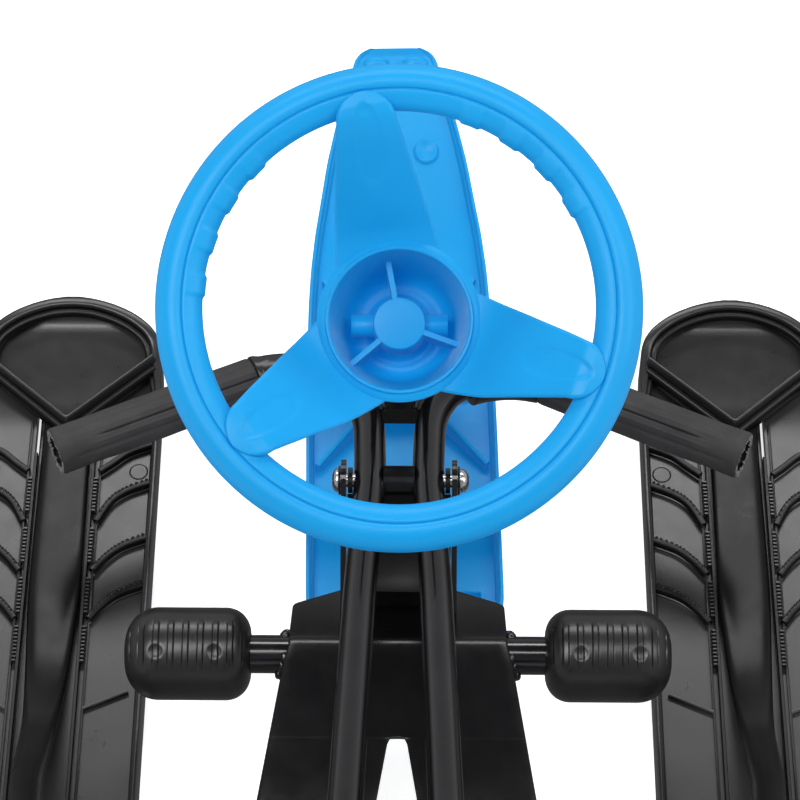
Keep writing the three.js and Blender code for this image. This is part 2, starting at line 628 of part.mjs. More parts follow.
const plate = springHoles.reduce(
  (body, hole) => body.subtract(hole),
  solid(loft(plateRings)).subtract(solid(notchCut)).subtract(pedalRoom),
);
part('brake_bridge_plate', shell(plate), GLOSS_BLACK);

function flapTop(y) {
  return 80.5 + ((84.5 - y) * (109.2 - 80.5)) / (84.5 - PEDAL_Y) + 1.2 + GAP + 0.2;
}
const ear = new THREE.Shape();
ear.moveTo(64, flapTop(64));
ear.lineTo(79.5, flapTop(79.5));
ear.lineTo(92, 88);
ear.absarc(PIVOT_Y, PIVOT_Z, 12, -0.55, 2.25, false);
const earHole = new THREE.Path();
earHole.absarc(PIVOT_Y, PIVOT_Z, 4.5, 0, Math.PI * 2, true);
ear.holes.push(earHole);
const earBody = new THREE.ExtrudeGeometry(ear, { depth: 3, bevelEnabled: false, curveSegments: 8 });
earBody.applyMatrix4(new THREE.Matrix4().makeBasis(
  new THREE.Vector3(0, 1, 0), new THREE.Vector3(0, 0, 1), new THREE.Vector3(1, 0, 0),
));
earBody.translate(30.6, 0, 0);
pair('brake_ear', outwardGeometry(earBody), GLOSS_BLACK);

// Web between the ears, bent down onto the front of the plate.
const webRows = [[68, 95.4], [82, 88.2], [92, 91], [118, 111], [123, 119]];
const web = new THREE.Shape([
  ...webRows.map(([y, z]) => new THREE.Vector2(y, z)),
  ...webRows.map(([y, z]) => new THREE.Vector2(y, z - 2.4)).reverse(),
]);
const webBody = new THREE.ExtrudeGeometry(web, { depth: 60.4, bevelEnabled: false });
webBody.applyMatrix4(new THREE.Matrix4().makeBasis(
  new THREE.Vector3(0, 1, 0), new THREE.Vector3(0, 0, 1), new THREE.Vector3(1, 0, 0),
));
webBody.translate(-30.2, 0, 0);
part('brake_web', outwardGeometry(webBody), GLOSS_BLACK);

part('pedal_tube', rodX(PEDAL_TUBE_R, -PEDAL_HALF, PEDAL_HALF, PEDAL_Y, PEDAL_Z, 24), GLOSS_BLACK);

const gripProfile = [[PEDAL_TUBE_R + GAP, GRIP_IN], [13, GRIP_IN], [20, GRIP_IN + 2.5], [25, GRIP_IN + 9]];
const RING_COUNT = 4;
const ringPitch = (GRIP_OUT - GRIP_IN - 26) / RING_COUNT;
for (let i = 0; i < RING_COUNT; i += 1) {
  const x = GRIP_IN + 13 + i * ringPitch;
  gripProfile.push([GRIP_R, x], [GRIP_R, x + ringPitch * 0.8], [GRIP_R - 1.4, x + ringPitch * 0.9]);
}
gripProfile.push([25, GRIP_OUT - 9], [20, GRIP_OUT - 3], [13, GRIP_OUT], [0, GRIP_OUT]);
gripProfile.push([0, PEDAL_HALF + GAP], [PEDAL_TUBE_R + GAP, PEDAL_HALF + GAP], [PEDAL_TUBE_R + GAP, GRIP_IN]);
pair('pedal_grip', turnedX(gripProfile, [0, PEDAL_Y, PEDAL_Z], 18), RUBBER);

// Toothed claw under the rear end of each leg of the plate.
const claw = new THREE.Shape();
claw.moveTo(47, 70);
const TEETH = 4;
for (let i = 0; i < TEETH; i += 1) {
  const x = 47 + i * 10.5;
  claw.lineTo(x, 56);
  claw.lineTo(x + 5.25, 46);
  claw.lineTo(x + 10.5, 56);
}
claw.lineTo(89, 70);
const clawBody = new THREE.ExtrudeGeometry(claw, { depth: 3, bevelEnabled: false });
clawBody.rotateX(Math.PI / 2);
clawBody.translate(0, -144, 0);
pair('brake_claw', outwardGeometry(clawBody), ZINC);

// Return spring between each leg and the main tube above it.
const springPath = bend([
  [62, -132, 74.5, 1.2, 1.2],
  [62, -132, 88, 1.2, 1.2],
  [60, -133, 96, 6, 6],
  [44, -138, 190, 6, 6],
  [42, -139, 200, 1.2, 1.2],
  [38, -140, 212, 1.2, 1.2],
], 3, 1);
pair('return_spring', sweep(springPath, 10), ZINC);

export default group;
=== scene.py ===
import math
import random

import bmesh
import bpy
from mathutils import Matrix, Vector, noise
from mathutils.bvhtree import BVHTree


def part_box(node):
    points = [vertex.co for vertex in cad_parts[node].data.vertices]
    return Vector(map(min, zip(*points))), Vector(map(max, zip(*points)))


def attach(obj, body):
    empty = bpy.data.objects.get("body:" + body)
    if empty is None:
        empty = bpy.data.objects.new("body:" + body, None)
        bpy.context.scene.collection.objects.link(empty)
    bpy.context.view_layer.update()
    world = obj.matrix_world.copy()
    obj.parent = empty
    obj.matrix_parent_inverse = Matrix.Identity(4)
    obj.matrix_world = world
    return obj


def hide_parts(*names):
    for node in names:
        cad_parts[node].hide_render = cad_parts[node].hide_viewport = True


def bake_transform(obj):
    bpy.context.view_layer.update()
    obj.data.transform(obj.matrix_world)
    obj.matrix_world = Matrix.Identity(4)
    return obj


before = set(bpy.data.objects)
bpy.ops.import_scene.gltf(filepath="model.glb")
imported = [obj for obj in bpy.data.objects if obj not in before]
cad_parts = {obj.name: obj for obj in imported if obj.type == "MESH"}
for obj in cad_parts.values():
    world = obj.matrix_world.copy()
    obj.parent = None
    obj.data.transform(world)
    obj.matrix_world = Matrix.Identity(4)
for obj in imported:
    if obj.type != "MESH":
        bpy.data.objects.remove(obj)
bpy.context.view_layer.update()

# A child's steerable snow sled: a blue ski and wheel in front, two black skis, a padded seat and a foot brake.
# Shapes are written in millimetres in the CAD frame, and build() turns them into metres.
MM = 0.001
LEAN = math.radians(30)            # the steering column leans back this far
WHEEL = (0.0, 129.0, 300.0)        # centre of the steering wheel
SPOKE_TURN = math.radians(10.5)
RIM_RISE = 1.7                     # the rim is set this far up the wheel
RIM_STRETCH = 0.007                # and is this much taller than wide
PIVOT = (0, 130, 133)              # axis of the foot brake's pivot, on the middle plane
PEDAL_Y, PEDAL_Z = 35.6, 95        # axis of the pedal tube

scene = bpy.context.scene

# ------------ camera, floor and light
camera = bpy.data.objects.new("camera", bpy.data.cameras.new("camera"))
scene.collection.objects.link(camera)
camera.data.lens = 135.0
camera.data.sensor_width = 36.0
camera.location = (0.0072, -0.829, 1.584)
camera.rotation_euler = (math.radians(35.0), 0.0, math.radians(0.4))
scene.camera = camera
scene.view_settings.view_transform = "Standard"

world = bpy.data.worlds.new("studio")
world.use_nodes = True
sky = world.node_tree
up = sky.nodes.new("ShaderNodeSeparateXYZ")
sky.links.new(sky.nodes.new("ShaderNodeTexCoord").outputs["Generated"], up.inputs["Vector"])
rise = sky.nodes.new("ShaderNodeMapRange")
rise.inputs["From Min"].default_value = -1.0
dome = sky.nodes.new("ShaderNodeValToRGB")
dome.color_ramp.elements[0].position = 0.42
dome.color_ramp.elements[0].color = (0.14, 0.14, 0.14, 1.0)
dome.color_ramp.elements[1].position = 0.975
dome.color_ramp.elements[1].color = (0.07, 0.07, 0.075, 1.0)
dome.color_ramp.elements.new(0.52).color = (0.62, 0.62, 0.63, 1.0)
sky.links.new(up.outputs["Z"], rise.inputs["Value"])
sky.links.new(rise.outputs["Result"], dome.inputs["Fac"])
sky.links.new(dome.outputs["Color"], sky.nodes["Background"].inputs["Color"])
scene.world = world


def softbox(name, place, aim, wide, high, power):
    lamp = bpy.data.lights.new(name, "AREA")
    lamp.shape = "RECTANGLE"
    lamp.size = wide
    lamp.size_y = high
    lamp.energy = power
    item = bpy.data.objects.new(name, lamp)
    item.location = place
    item.rotation_euler = (Vector(aim) - Vector(place)).to_track_quat("-Z", "Y").to_euler()
    scene.collection.objects.link(item)


softbox("key", (-1.0, -0.7, 2.4), (0, 0.1, 0.1), 1.3, 1.3, 30)
softbox("fill", (1.5, -0.2, 1.7), (0, 0.1, 0.1), 0.8, 1.6, 16)
softbox("back", (0.0, 1.84, 2.2), (0, 0.25, 0.0), 2.6, 0.46, 34)
softbox("overhead", (0.0, -0.42, 2.4), (0, 0.0, 0.1), 2.2, 0.3, 14)


# ------------ materials
def material(name, color, rough, metal=0.0, coat=0.0, vary=0.12, vary_scale=30.0, grain=600.0,
             bump=0.05, depth=0.0002, rough_vary=0.08, specular=0.5, sheen=0.0, scratch=0.0, glow=None):
    mat = bpy.data.materials.new(name)
    mat.use_nodes = True
    tree = mat.node_tree
    nodes, links = tree.nodes, tree.links
    shader = nodes["Principled BSDF"]
    shader.inputs["Metallic"].default_value = metal
    shader.inputs["Coat Weight"].default_value = coat
    shader.inputs["Coat Roughness"].default_value = 0.06
    shader.inputs["Specular IOR Level"].default_value = specular
    shader.inputs["Sheen Weight"].default_value = sheen
    if glow:
        shader.inputs["Emission Color"].default_value = (*glow, 1.0)
        shader.inputs["Emission Strength"].default_value = 1.0
    place = nodes.new("ShaderNodeTexCoord")

    def noise_node(scale, detail, roughness=0.55):
        node = nodes.new("ShaderNodeTexNoise")
        node.inputs["Scale"].default_value = scale
        node.inputs["Detail"].default_value = detail
        node.inputs["Roughness"].default_value = roughness
        links.new(place.outputs["Object"], node.inputs["Vector"])
        return node

    broad = noise_node(vary_scale, 4.0)
    ramp = nodes.new("ShaderNodeValToRGB")
    dark = [max(0.0, c * (1 - vary)) for c in color]
    light = [min(1.0, c * (1 + vary) + 0.002 * vary) for c in color]
    ramp.color_ramp.elements[0].position = 0.3
    ramp.color_ramp.elements[0].color = (*dark, 1.0)
    ramp.color_ramp.elements[1].position = 0.7
    ramp.color_ramp.elements[1].color = (*light, 1.0)
    links.new(broad.outputs["Fac"], ramp.inputs["Fac"])
    links.new(ramp.outputs["Color"], shader.inputs["Base Color"])

    wear = noise_node(vary_scale * 5.0, 6.0, 0.65)
    spread = nodes.new("ShaderNodeMapRange")
    spread.inputs["From Min"].default_value = 0.3
    spread.inputs["From Max"].default_value = 0.7
    spread.inputs["To Min"].default_value = max(0.02, rough - rough_vary)
    spread.inputs["To Max"].default_value = min(1.0, rough + rough_vary)
    links.new(wear.outputs["Fac"], spread.inputs["Value"])
    links.new(spread.outputs["Result"], shader.inputs["Roughness"])

    fine = noise_node(grain, 3.0)
    height = fine.outputs["Fac"]
    if scratch:
        wave = nodes.new("ShaderNodeTexVoronoi")
        wave.feature = "DISTANCE_TO_EDGE"
        wave.inputs["Scale"].default_value = scratch
        links.new(place.outputs["Object"], wave.inputs["Vector"])
        blend = nodes.new("ShaderNodeMath")
        blend.operation = "MULTIPLY_ADD"
        blend.inputs[1].default_value = 0.5
        links.new(wave.outputs["Distance"], blend.inputs[0])
        links.new(fine.outputs["Fac"], blend.inputs[2])
        height = blend.outputs["Value"]
    relief = nodes.new("ShaderNodeBump")
    relief.inputs["Strength"].default_value = bump
    relief.inputs["Distance"].default_value = depth
    links.new(height, relief.inputs["Height"])
    links.new(relief.outputs["Normal"], shader.inputs["Normal"])
    if coat:
        links.new(relief.outputs["Normal"], shader.inputs["Coat Normal"])
    return mat


def paint(name, color, rough, **kw):
    """Black paint on steel, with a faint orange peel."""
    return material(name, color, rough, vary=0.3, vary_scale=12, grain=160, bump=0.05, depth=0.0004, **kw)


# The blue moulding's emission is painted light: a faint blue glow that lifts the blue where it lies in shade.
BLUE = material("blue_moulding", (0.006, 0.262, 0.52), 0.40, vary=0.05, vary_scale=14, grain=900, bump=0.12,
                rough_vary=0.06, specular=0.22, glow=(0.0, 0.055, 0.20))
PAINT = paint("black_paint", (0.005, 0.005, 0.006), 0.18, coat=0.3, rough_vary=0.05)
SHADE_PAINT = paint("black_paint_shaded", (0.004, 0.004, 0.004), 0.34, rough_vary=0.05, specular=0.25)
RAIL_PAINT = paint("black_rail_paint", (0.006, 0.0055, 0.006), 0.30, rough_vary=0.04, specular=0.22)
SKI = material("black_ski", (0.019, 0.018, 0.0188), 0.30, vary=0.12, vary_scale=16, grain=1400, bump=0.2,
               rough_vary=0.03, specular=0.62)
# A darker, duller copy of the ski plastic: it paints shade on the side skis' ribs and studs, in the band inside
# the front lip and on the bar under the V lip.
SKI_SHADE = material("black_ski_rib", (0.005, 0.0048, 0.005), 0.36, vary=0.3, vary_scale=60, grain=1400, bump=0.3,
                   rough_vary=0.08, specular=0.35)
CUT = material("foam_cut_face", (0.16, 0.158, 0.155), 0.8, vary=0.75, vary_scale=900, grain=1600, bump=0.9,
               depth=0.001, specular=0.3, scratch=900.0)
FOAM = material("cut_foam", (0.041, 0.039, 0.039), 0.62, vary=0.2, vary_scale=40, grain=2200, bump=0.35,
                depth=0.0004, specular=0.3, scratch=1500.0)
RUBBER = material("pedal_rubber", (0.010, 0.0096, 0.010), 0.32, vary=0.2, vary_scale=50, grain=900, bump=0.08,
                  rough_vary=0.03, specular=0.6)
PLATE_PAINT = paint("black_plate_paint", (0.004, 0.004, 0.0045), 0.24, rough_vary=0.04, specular=0.42)
ZINC = material("zinc_plate", (0.62, 0.62, 0.64), 0.26, metal=1.0, vary=0.12, vary_scale=120, grain=900,
                bump=0.15, rough_vary=0.1)
NYLON = material("nylon", (0.018, 0.018, 0.019), 0.5, vary=0.2, vary_scale=50, grain=1200, bump=0.2)
COVER = material("seat_cloth", (0.020, 0.020, 0.023), 0.62, vary=0.25, vary_scale=26, grain=1800, bump=0.5,
                 depth=0.0005, sheen=0.2, scratch=900.0)
PIPING = material("seat_piping", (0.02, 0.22, 0.66), 0.5, vary=0.12, vary_scale=80, grain=1500, bump=0.3)
WELD = material("weld_bead", (0.008, 0.008, 0.009), 0.2, coat=0.4, vary=0.3, vary_scale=200, grain=700,
                bump=0.35, depth=0.0006)
SNOW = material("pale_floor", (0.90, 0.90, 0.90), 0.9, vary=0.01, vary_scale=2, grain=60, bump=0.02,
                specular=0.1)
SNOW.node_tree.nodes["Principled BSDF"].inputs["Emission Color"].default_value = (1.0, 1.0, 1.0, 1.0)
SNOW.node_tree.nodes["Principled BSDF"].inputs["Emission Strength"].default_value = 0.75


# ------------ mesh helpers (all in millimetres)
def build(name, verts, faces, mat, body, angle=35.0):
    """Makes an object. A face that ends in -1 takes the second material; edges over the angle stay sharp."""
    mesh = bpy.data.meshes.new(name)
    corners = [f[:-1] if f[-1] == -1 else f for f in faces]
    mesh.from_pydata([(x * MM, y * MM, z * MM) for x, y, z in verts], [], corners)
    for polygon, face in zip(mesh.polygons, faces):
        polygon.material_index = 1 if face[-1] == -1 else 0
    bm = bmesh.new()
    bm.from_mesh(mesh)
    bmesh.ops.remove_doubles(bm, verts=bm.verts, dist=1e-6)
    bmesh.ops.recalc_face_normals(bm, faces=bm.faces)
    for edge in bm.edges:
        edge.smooth = edge.calc_face_angle(0.0) < math.radians(angle)
    for face in bm.faces:
        face.smooth = True
    bm.to_mesh(mesh)
    bm.free()
    item = bpy.data.objects.new(name, mesh)
    for each in mat if isinstance(mat, tuple) else (mat,):
        item.data.materials.append(each)
    scene.collection.objects.link(item)
    if body:
        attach(item, body)
    return item


def skin(rings, caps=True, closed=True, looped=False):
    """Joins rings of points; closed joins each ring's ends, and looped joins the last ring to the first."""
    verts = [p for ring in rings for p in ring]
    n = len(rings[0])
    faces = []
    rows = len(rings)
    for r in range(rows if looped else rows - 1):
        base, nxt = r * n, ((r + 1) % rows) * n
        for i in range(n if closed else n - 1):
            j = (i + 1) % n
            faces.append((base + i, base + j, nxt + j, nxt + i))
    if caps and closed and not looped:
        faces.append(tuple(range(n - 1, -1, -1)))
        faces.append(tuple(range((rows - 1) * n, rows * n)))
    return verts, faces


def joined(*parts):
    verts, faces = [], []
    for v, f in parts:
        start = len(verts)
        verts += v
        faces += [tuple(i if i < 0 else i + start for i in face) for face in f]
    return verts, faces


def second(part):
    """Marks every face of a part for the object's second material."""
    return part[0], [(*f, -1) for f in part[1]]


def placed(part, move):
    return [move(p) for p in part[0]], part[1]


def mirror(part):
    return [(-x, y, z) for x, y, z in part[0]], part[1]


def lathe(profile, steps, frame_of):
    """Turns (radius, height) pairs round an axis; frame_of maps (x, y, height) to the row frame."""
    rings = []
    for s in range(steps):
        a = 2 * math.pi * s / steps
        rings.append([frame_of((r * math.cos(a), r * math.sin(a), h)) for r, h in profile])
    return skin(rings, caps=False, closed=False, looped=True)


def about_x(at):
    return lambda p: (at[0] + p[2], at[1] + p[0], at[2] + p[1])


def about_z(at):
    return lambda p: (at[0] + p[0], at[1] + p[1], at[2] + p[2])


def wheel(p):
    x, y, z = p
    return (WHEEL[0] + x, WHEEL[1] + y * math.cos(LEAN) - z * math.sin(LEAN),
            WHEEL[2] + y * math.sin(LEAN) + z * math.cos(LEAN))


def turned(p):
    """A point of the wheel, turned with its spokes; what is far from the hub is raised and stretched."""
    c, s = math.cos(SPOKE_TURN), math.sin(SPOKE_TURN)
    x, y = p[0] * c - p[1] * s, p[0] * s + p[1] * c
    away = max(0.0, min(1.0, (math.hypot(x, y) - 60.0) / 40.0))
    return wheel((x, y + away * (RIM_RISE + RIM_STRETCH * y), p[2]))


def spline(points, count):
    """Evenly spaced points on a smooth curve through the given ones (each may carry extra numbers)."""
    out = []
    n = len(points)
    for i in range(n - 1):
        p0, p1, p2, p3 = points[max(0, i - 1)], points[i], points[i + 1], points[min(n - 1, i + 2)]
        for k in range(count):
            t = k / count
            row = []
            for a, b, c, d in zip(p0, p1, p2, p3):
                row.append(0.5 * (2 * b + (c - a) * t + (2 * a - 5 * b + 4 * c - d) * t * t
                                  + (3 * b - a - 3 * c + d) * t ** 3))
            out.append(row)
    out.append(list(points[-1]))
    return out


def bend(points, cut, steps):
    """Rounds the corners of a polyline whose points may carry extra numbers."""
    def mix(p, q, t):
        return [a + (b - a) * t for a, b in zip(p, q)]
    path = [list(points[0])]
    for i in range(1, len(points) - 1):
        p = points[i]
        before = min(0.48, cut / math.dist(p[:3], points[i - 1][:3]))
        after = min(0.48, cut / math.dist(p[:3], points[i + 1][:3]))
        a, b = mix(p, points[i - 1], before), mix(p, points[i + 1], after)
        for k in range(steps + 1):
            t = k / steps
            path.append(mix(mix(a, p, t), mix(p, b, t), t))
    path.append(list(points[-1]))
    return path


def sweep(path, sides=24, level=True, power=2.0, looped=False, caps=True):
    """Bar along a path of [x, y, z, half width, half height]; power above 2 makes it squarer."""
    rings = []
    last = len(path) - 1
    side = None
    for i, p in enumerate(path):
        q0 = path[(i - 1) % len(path)] if looped else path[max(0, i - 1)]
        q1 = path[(i + 1) % len(path)] if looped else path[min(last, i + 1)]
        along = (Vector(q1[:3]) - Vector(q0[:3])).normalized()
        if level:
            side = along.cross(Vector((0, 0, 1))).normalized()
        else:
            if side is None:
                side = along.orthogonal().normalized()
            side = (side - along * side.dot(along)).normalized()
        top = side.cross(along)
        ring = []
        for k in range(sides):
            a = 2 * math.pi * k / sides
            c, s = math.cos(a), math.sin(a)
            w = math.copysign(abs(c) ** (2 / power), c) * p[3]
            h = math.copysign(abs(s) ** (2 / power), s) * p[4]
            ring.append(tuple(Vector(p[:3]) + side * w + top * h))
        rings.append(ring)
    return skin(rings, looped=looped, caps=caps)


def block(x0, x1, y0, y1, z0, z1):
    v = [(x, y, z) for x in (x0, x1) for y in (y0, y1) for z in (z0, z1)]
    return v, [(0, 1, 3, 2), (4, 6, 7, 5), (0, 4, 5, 1), (2, 3, 7, 6), (0, 2, 6, 4), (1, 5, 7, 3)]


def soften(item, width):
    mod = item.modifiers.new("soft_edges", "BEVEL")
    mod.width = width * MM
    mod.segments = 2
    mod.limit_method = "ANGLE"
    mod.angle_limit = math.radians(35)
    mod.harden_normals = False


def thicken(item, amount):
    mod = item.modifiers.new("sheet", "SOLIDIFY")
    mod.thickness = amount * MM
    mod.offset = -1.0


def finish_node(name, mat):
    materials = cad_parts[name].data.materials
    materials.clear()
    materials.append(mat)


def both(name, part, mat, body, slot, **kw):
    """Replaces a left and a right CAD node with this part and its mirror image."""
    for side, data in (("left", mirror(part)), ("right", part)):
        item = build(f"{side}_{name}_form", *data, mat, body, **kw)
        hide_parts(f"{side}_{name}")


def one(name, part, mat, body, slot, **kw):
    """Replaces one CAD node with this part."""
    item = build(f"{name}_form", *part, mat, body, **kw)
    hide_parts(name)
    return item



# ------------ floor
FLOOR, FLOOR_Z = 40000, -0.6
floor_corners = [(x * FLOOR, y * FLOOR, FLOOR_Z) for x, y in ((-1, -1), (1, -1), (1, 1), (-1, 1))]
floor = build("floor", floor_corners, [(0, 1, 2, 3)], SNOW, None)
floor.visible_glossy = False

# ------------ steering wheel rim
RIDGES = [-73.9, -61.2, -48.4, -36.2, 31.4, 44.1, 57.1, 69.9]    # degrees from the wheel's own top


def grip_height(angle):
    """How far the inner edge stands proud at this angle from the wheel's own top, in degrees."""
    gap = min(abs(angle - centre) for centre in RIDGES)
    return 1.25 * max(0.0, min(1.0, (3.5 - gap) / 0.9))


# Radius, height, and how much of a ridge's height the point takes.
RIM = [
    (105.0, -1.5, 1.0), (105.1, 0.8, 1.0), (105.6, 3.0, 1.0), (106.6, 5.0, 0.9), (108.0, 6.6, 0.7),
    (109.8, 7.9, 0.45), (111.8, 8.9, 0.25), (113.6, 9.5, 0.1), (114.7, 9.7, 0), (115.2, 9.4, 0),
    (115.6, 8.8, 0), (115.9, 9.5, 0), (116.4, 10.4, 0), (117.4, 10.9, 0), (119.0, 11.2, 0), (121.0, 11.0, 0),
    (123.2, 10.2, 0), (125.4, 8.7, 0), (127.3, 6.7, 0), (128.8, 4.3, 0), (129.7, 1.7, 0), (130.0, -0.9, 0),
    (129.3, -4.0, 0), (127.2, -7.1, 0), (123.6, -9.7, 0), (119.4, -11.1, 0), (115.0, -11.2, 0),
    (111.0, -9.9, 0.1), (107.6, -7.4, 0.5), (105.7, -4.6, 0.9),
]
rings = []
for i in range(720):
    a = math.radians(i / 2)
    lift = grip_height(((i / 2 + 180) % 360) - 180)
    ring = []
    for r, z, w in RIM:
        rr = r - lift * w + 0.5 * max(0.0, min(1.0, (r - 114.0) / 8.0))
        zz = z + (0.55 * lift * w if z > 4 else 0)
        ring.append(turned((rr * math.sin(a), rr * math.cos(a), zz)))
    rings.append(ring)
rim_form = one("wheel_rim", skin(rings, looped=True), BLUE, "steering", "blue_plastic", angle=50)

# ------------ wheel spider: spokes, cup and boss
# Distance from the hub, half width and height of the front face.
SPOKE = [
    (41.0, 29.8, -50.0), (44.0, 29.2, -49.6), (50.0, 27.7, -45.5), (58.0, 25.8, -36.5), (66.0, 24.0, -27.3),
    (74.0, 22.1, -18.0), (82.0, 20.3, -8.9), (88.0, 19.0, -2.4), (93.0, 17.8, 2.8), (97.0, 16.9, 6.4),
    (100.0, 16.2, 8.7),
]


def spoke_rows():
    rows = spline([list(r) for r in SPOKE], 5)
    for k in range(1, 19):
        a = math.radians(k * 5)
        rows.append([100.0 + 15.4 * math.sin(a), 15.9 * math.cos(a) + 0.25, 8.7 + 2.6 * min(1, k / 6) ** 0.6])
    return rows


COLUMNS = [-1.0, -0.985, -0.95] + [i / 17 for i in range(-15, 16)] + [0.95, 0.985, 1.0]


def thumb_dip(x, radius):
    """Sharp-edged shallow dip for the thumb, wider towards the hub."""
    reach = math.hypot(x / (8.6 + (90 - radius) * 0.09), (radius - 90.0) / 20.0)
    return 1.5 * max(0.0, min(1.0, (1.0 - reach) * 5.0)) * (0.35 + 0.65 * abs(radius - 90) / 20)


def to_spoke(index):
    """Maps a point of the first spoke to the spoke of this index."""
    turn = -index * 2 * math.pi / 3
    c, s = math.cos(turn), math.sin(turn)
    return lambda p: turned((p[0] * c - p[1] * s, p[0] * s + p[1] * c, p[2]))


def spoke_part(index):
    """A spoke whose root follows the round lip of the cup."""
    spun = to_spoke(index)
    rings = []
    for radius, half, front in spoke_rows():
        hollow = max(0.0, min(1.0, (58.0 - radius) / 17.0))

        def along(x, radius=radius, hollow=hollow):
            return radius - hollow * (radius - math.sqrt(radius ** 2 - x ** 2))

        ring = []
        for f in COLUMNS:
            x = f * half
            edge = half - abs(x)
            z = front - 1.8 * max(0.0, 1 - edge / 1.6) ** 2 - 0.5 * (f * f)
            if radius > 60:
                z -= thumb_dip(x, radius)
            ring.append((x, along(x), z))
        thick = 7.0 if radius < 98 else max(2.6, 7.0 - (radius - 98) * 0.8)
        for f in (0.98, 0.5, 0.0, -0.5, -0.98):
            ring.append((f * half, along(f * half), front - thick))
        if not rings:
            rings.append([spun((x, y, front - thick / 2)) for x, y, z in ring])
        rings.append([spun(point) for point in ring])
    return skin(rings)


cup = [
    (0.01, -91.0), (14.4, -91.0), (16.8, -90.8), (18.4, -90.2), (20.0, -89.8), (21.6, -90.2), (23.6, -90.5),
    (26.0, -89.8), (28.2, -88.2), (30.0, -85.6), (31.5, -81.6), (33.6, -73.5), (35.9, -63.0), (38.2, -51.0),
    (38.6, -48.0), (38.8, -46.8), (39.3, -46.3), (40.4, -46.2), (41.0, -46.8), (41.2, -48.0), (42.3, -48.4),
    (44.4, -49.4), (45.2, -50.2), (45.2, -53.5), (42.2, -55.5), (40.6, -62.0), (37.6, -80.0), (34.4, -96.0),
    (32.5, -97.4), (15.4, -97.6), (15.0, -98.4), (15.0, -112.0), (10.5, -112.0), (10.5, -100.0),
    (0.01, -100.0),
]
boss = [(0.01, -65.9), (12.0, -66.0), (14.0, -66.3), (14.7, -67.2), (15.0, -69.0), (15.3, -91.5)]
spider = [spoke_part(i) for i in range(3)] + [lathe(cup, 96, wheel), lathe(boss, 64, wheel)]
fin = block(-1.45, 1.45, 13.5, 35.4, -90.8, -66.6)
fin = ([(x * (1.0 if z > -70 else 1.25), y if z > -70 or y < 20 else 31.5, z) for x, y, z in fin[0]], fin[1])
for index in range(3):
    spider.append(placed(fin, to_spoke(index)))
HUB_PIN_Z = -78
socket = [(0.01, 22.5), (4.6, 22.5), (4.6, 26.6), (4.9, 27.0), (5.9, 27.0), (6.3, 26.4), (6.5, 13.0)]
for side in (-1, 1):
    spider.append(lathe(socket, 32, lambda p, side=side: wheel((side * p[2], p[0], HUB_PIN_Z + p[1]))))
spider_form = one("wheel_spider", joined(*spider), BLUE, "steering", "blue_plastic", angle=40)

# ------------ CAD nodes that keep their shape
finish_node("head_gusset", SHADE_PAINT)
for name in ("ski_fork", "pivot_sleeve", "left_pivot_boss", "right_pivot_boss", "left_pivot_washer",
             "right_pivot_washer", "front_cross_tube", "rear_cross_tube", "left_brake_ear", "right_brake_ear"):
    finish_node(name, PAINT)
for name in ("upper_head_bush", "lower_head_bush", "left_ski_axle_bush", "right_ski_axle_bush", "seat_board"):
    finish_node(name, NYLON)
for name in ("hub_cross_nut", "ski_axle_nut", "shaft_collar", "left_brake_claw", "right_brake_claw"):
    finish_node(name, ZINC)
for name in ("head_gusset", "ski_fork", "left_brake_ear", "right_brake_ear", "seat_board", "left_brake_claw",
             "right_brake_claw", "shaft_collar", "upper_head_bush", "lower_head_bush", "ski_axle_nut",
             "hub_cross_nut"):
    soften(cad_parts[name], 0.7)

# ------------ steering column
head_profile = [(10.4, -232), (10.4, -165), (13.4, -165), (14, -165.6), (14, -231.4), (13.4, -232),
                (10.4, -232)]
one("head_tube", lathe(head_profile, 64, wheel), PAINT, "frame", "black_paint")
shaft_profile = [(0.01, -250), (8, -250), (8, -239.5), (10, -239), (10, -73), (0.01, -72.4)]
one("steering_shaft", lathe(shaft_profile, 64, wheel), PAINT, "steering", "black_paint")

# ------------ frame tubes
# Each point of a tube's path is x, y, z; the rails add half the width and half the height.
MAIN = [
    [29, -455, 241], [28, -197, 241], [21, 40, 162.7], [16.6, 130, 133], [18.2, 190, 113.5], [34, 220, 104],
    [76, 227, 104], [203, 170.5, 102],
]
TUBE = 9.3
main_path = bend([p + [TUBE, TUBE] for p in MAIN], 22, 10)
tube = sweep(main_path, 40)
both("main_tube", tube, PAINT, "frame", "black_paint", angle=60)

FOOT = 20.9
CX = 210.0
RAIL = [
    [CX, 250, FOOT, 15, 3.6], [CX, 120, FOOT, 16, 3.8], [CX, 62, FOOT + 1.5, 13, 5.5],
    [CX, 22, 33, 10.2, 8.6], [CX, -33, 70, TUBE, TUBE], [203, -84, 112, TUBE, TUBE],
    [124, -190, 205, TUBE, TUBE], [84, -240, 241, TUBE, TUBE], [84, -350, 241, TUBE, TUBE],
    [124, -392, 196, TUBE, TUBE], [204, -410, 80, TUBE, TUBE], [CX, -418, 44, TUBE, TUBE],
    [CX, -429, FOOT + 2, 13, 5.5], [CX, -441, FOOT, 15, 3.6], [CX, -470, FOOT, 15, 3.6],
]
rail = sweep(bend(RAIL, 20, 8), 40, power=2.6)
both("side_rail", rail, RAIL_PAINT, "frame", "black_paint", angle=60)


def weld(points, thick, body, name, seed):
    """A bead laid along a seam, in overlapping ripples."""
    rows = spline(points, 10)
    rng = random.Random(seed)
    path = []
    for i, p in enumerate(rows):
        swell = thick * (0.82 + 0.22 * abs(math.sin(i * 1.35)) + 0.12 * rng.random())
        if i in (0, len(rows) - 1):
            swell *= 0.4
        path.append([*p[:3], swell, swell])
    part = sweep(path, 12, level=False)
    for side, data in (("right", part), ("left", mirror(part))):
        build(f"{side}_{name}", *data, WELD, body, angle=80)


weld([[8.5, 190, 119], [10.5, 200, 116], [14, 210, 113]], 1.8, "frame", "gusset_weld", 3)

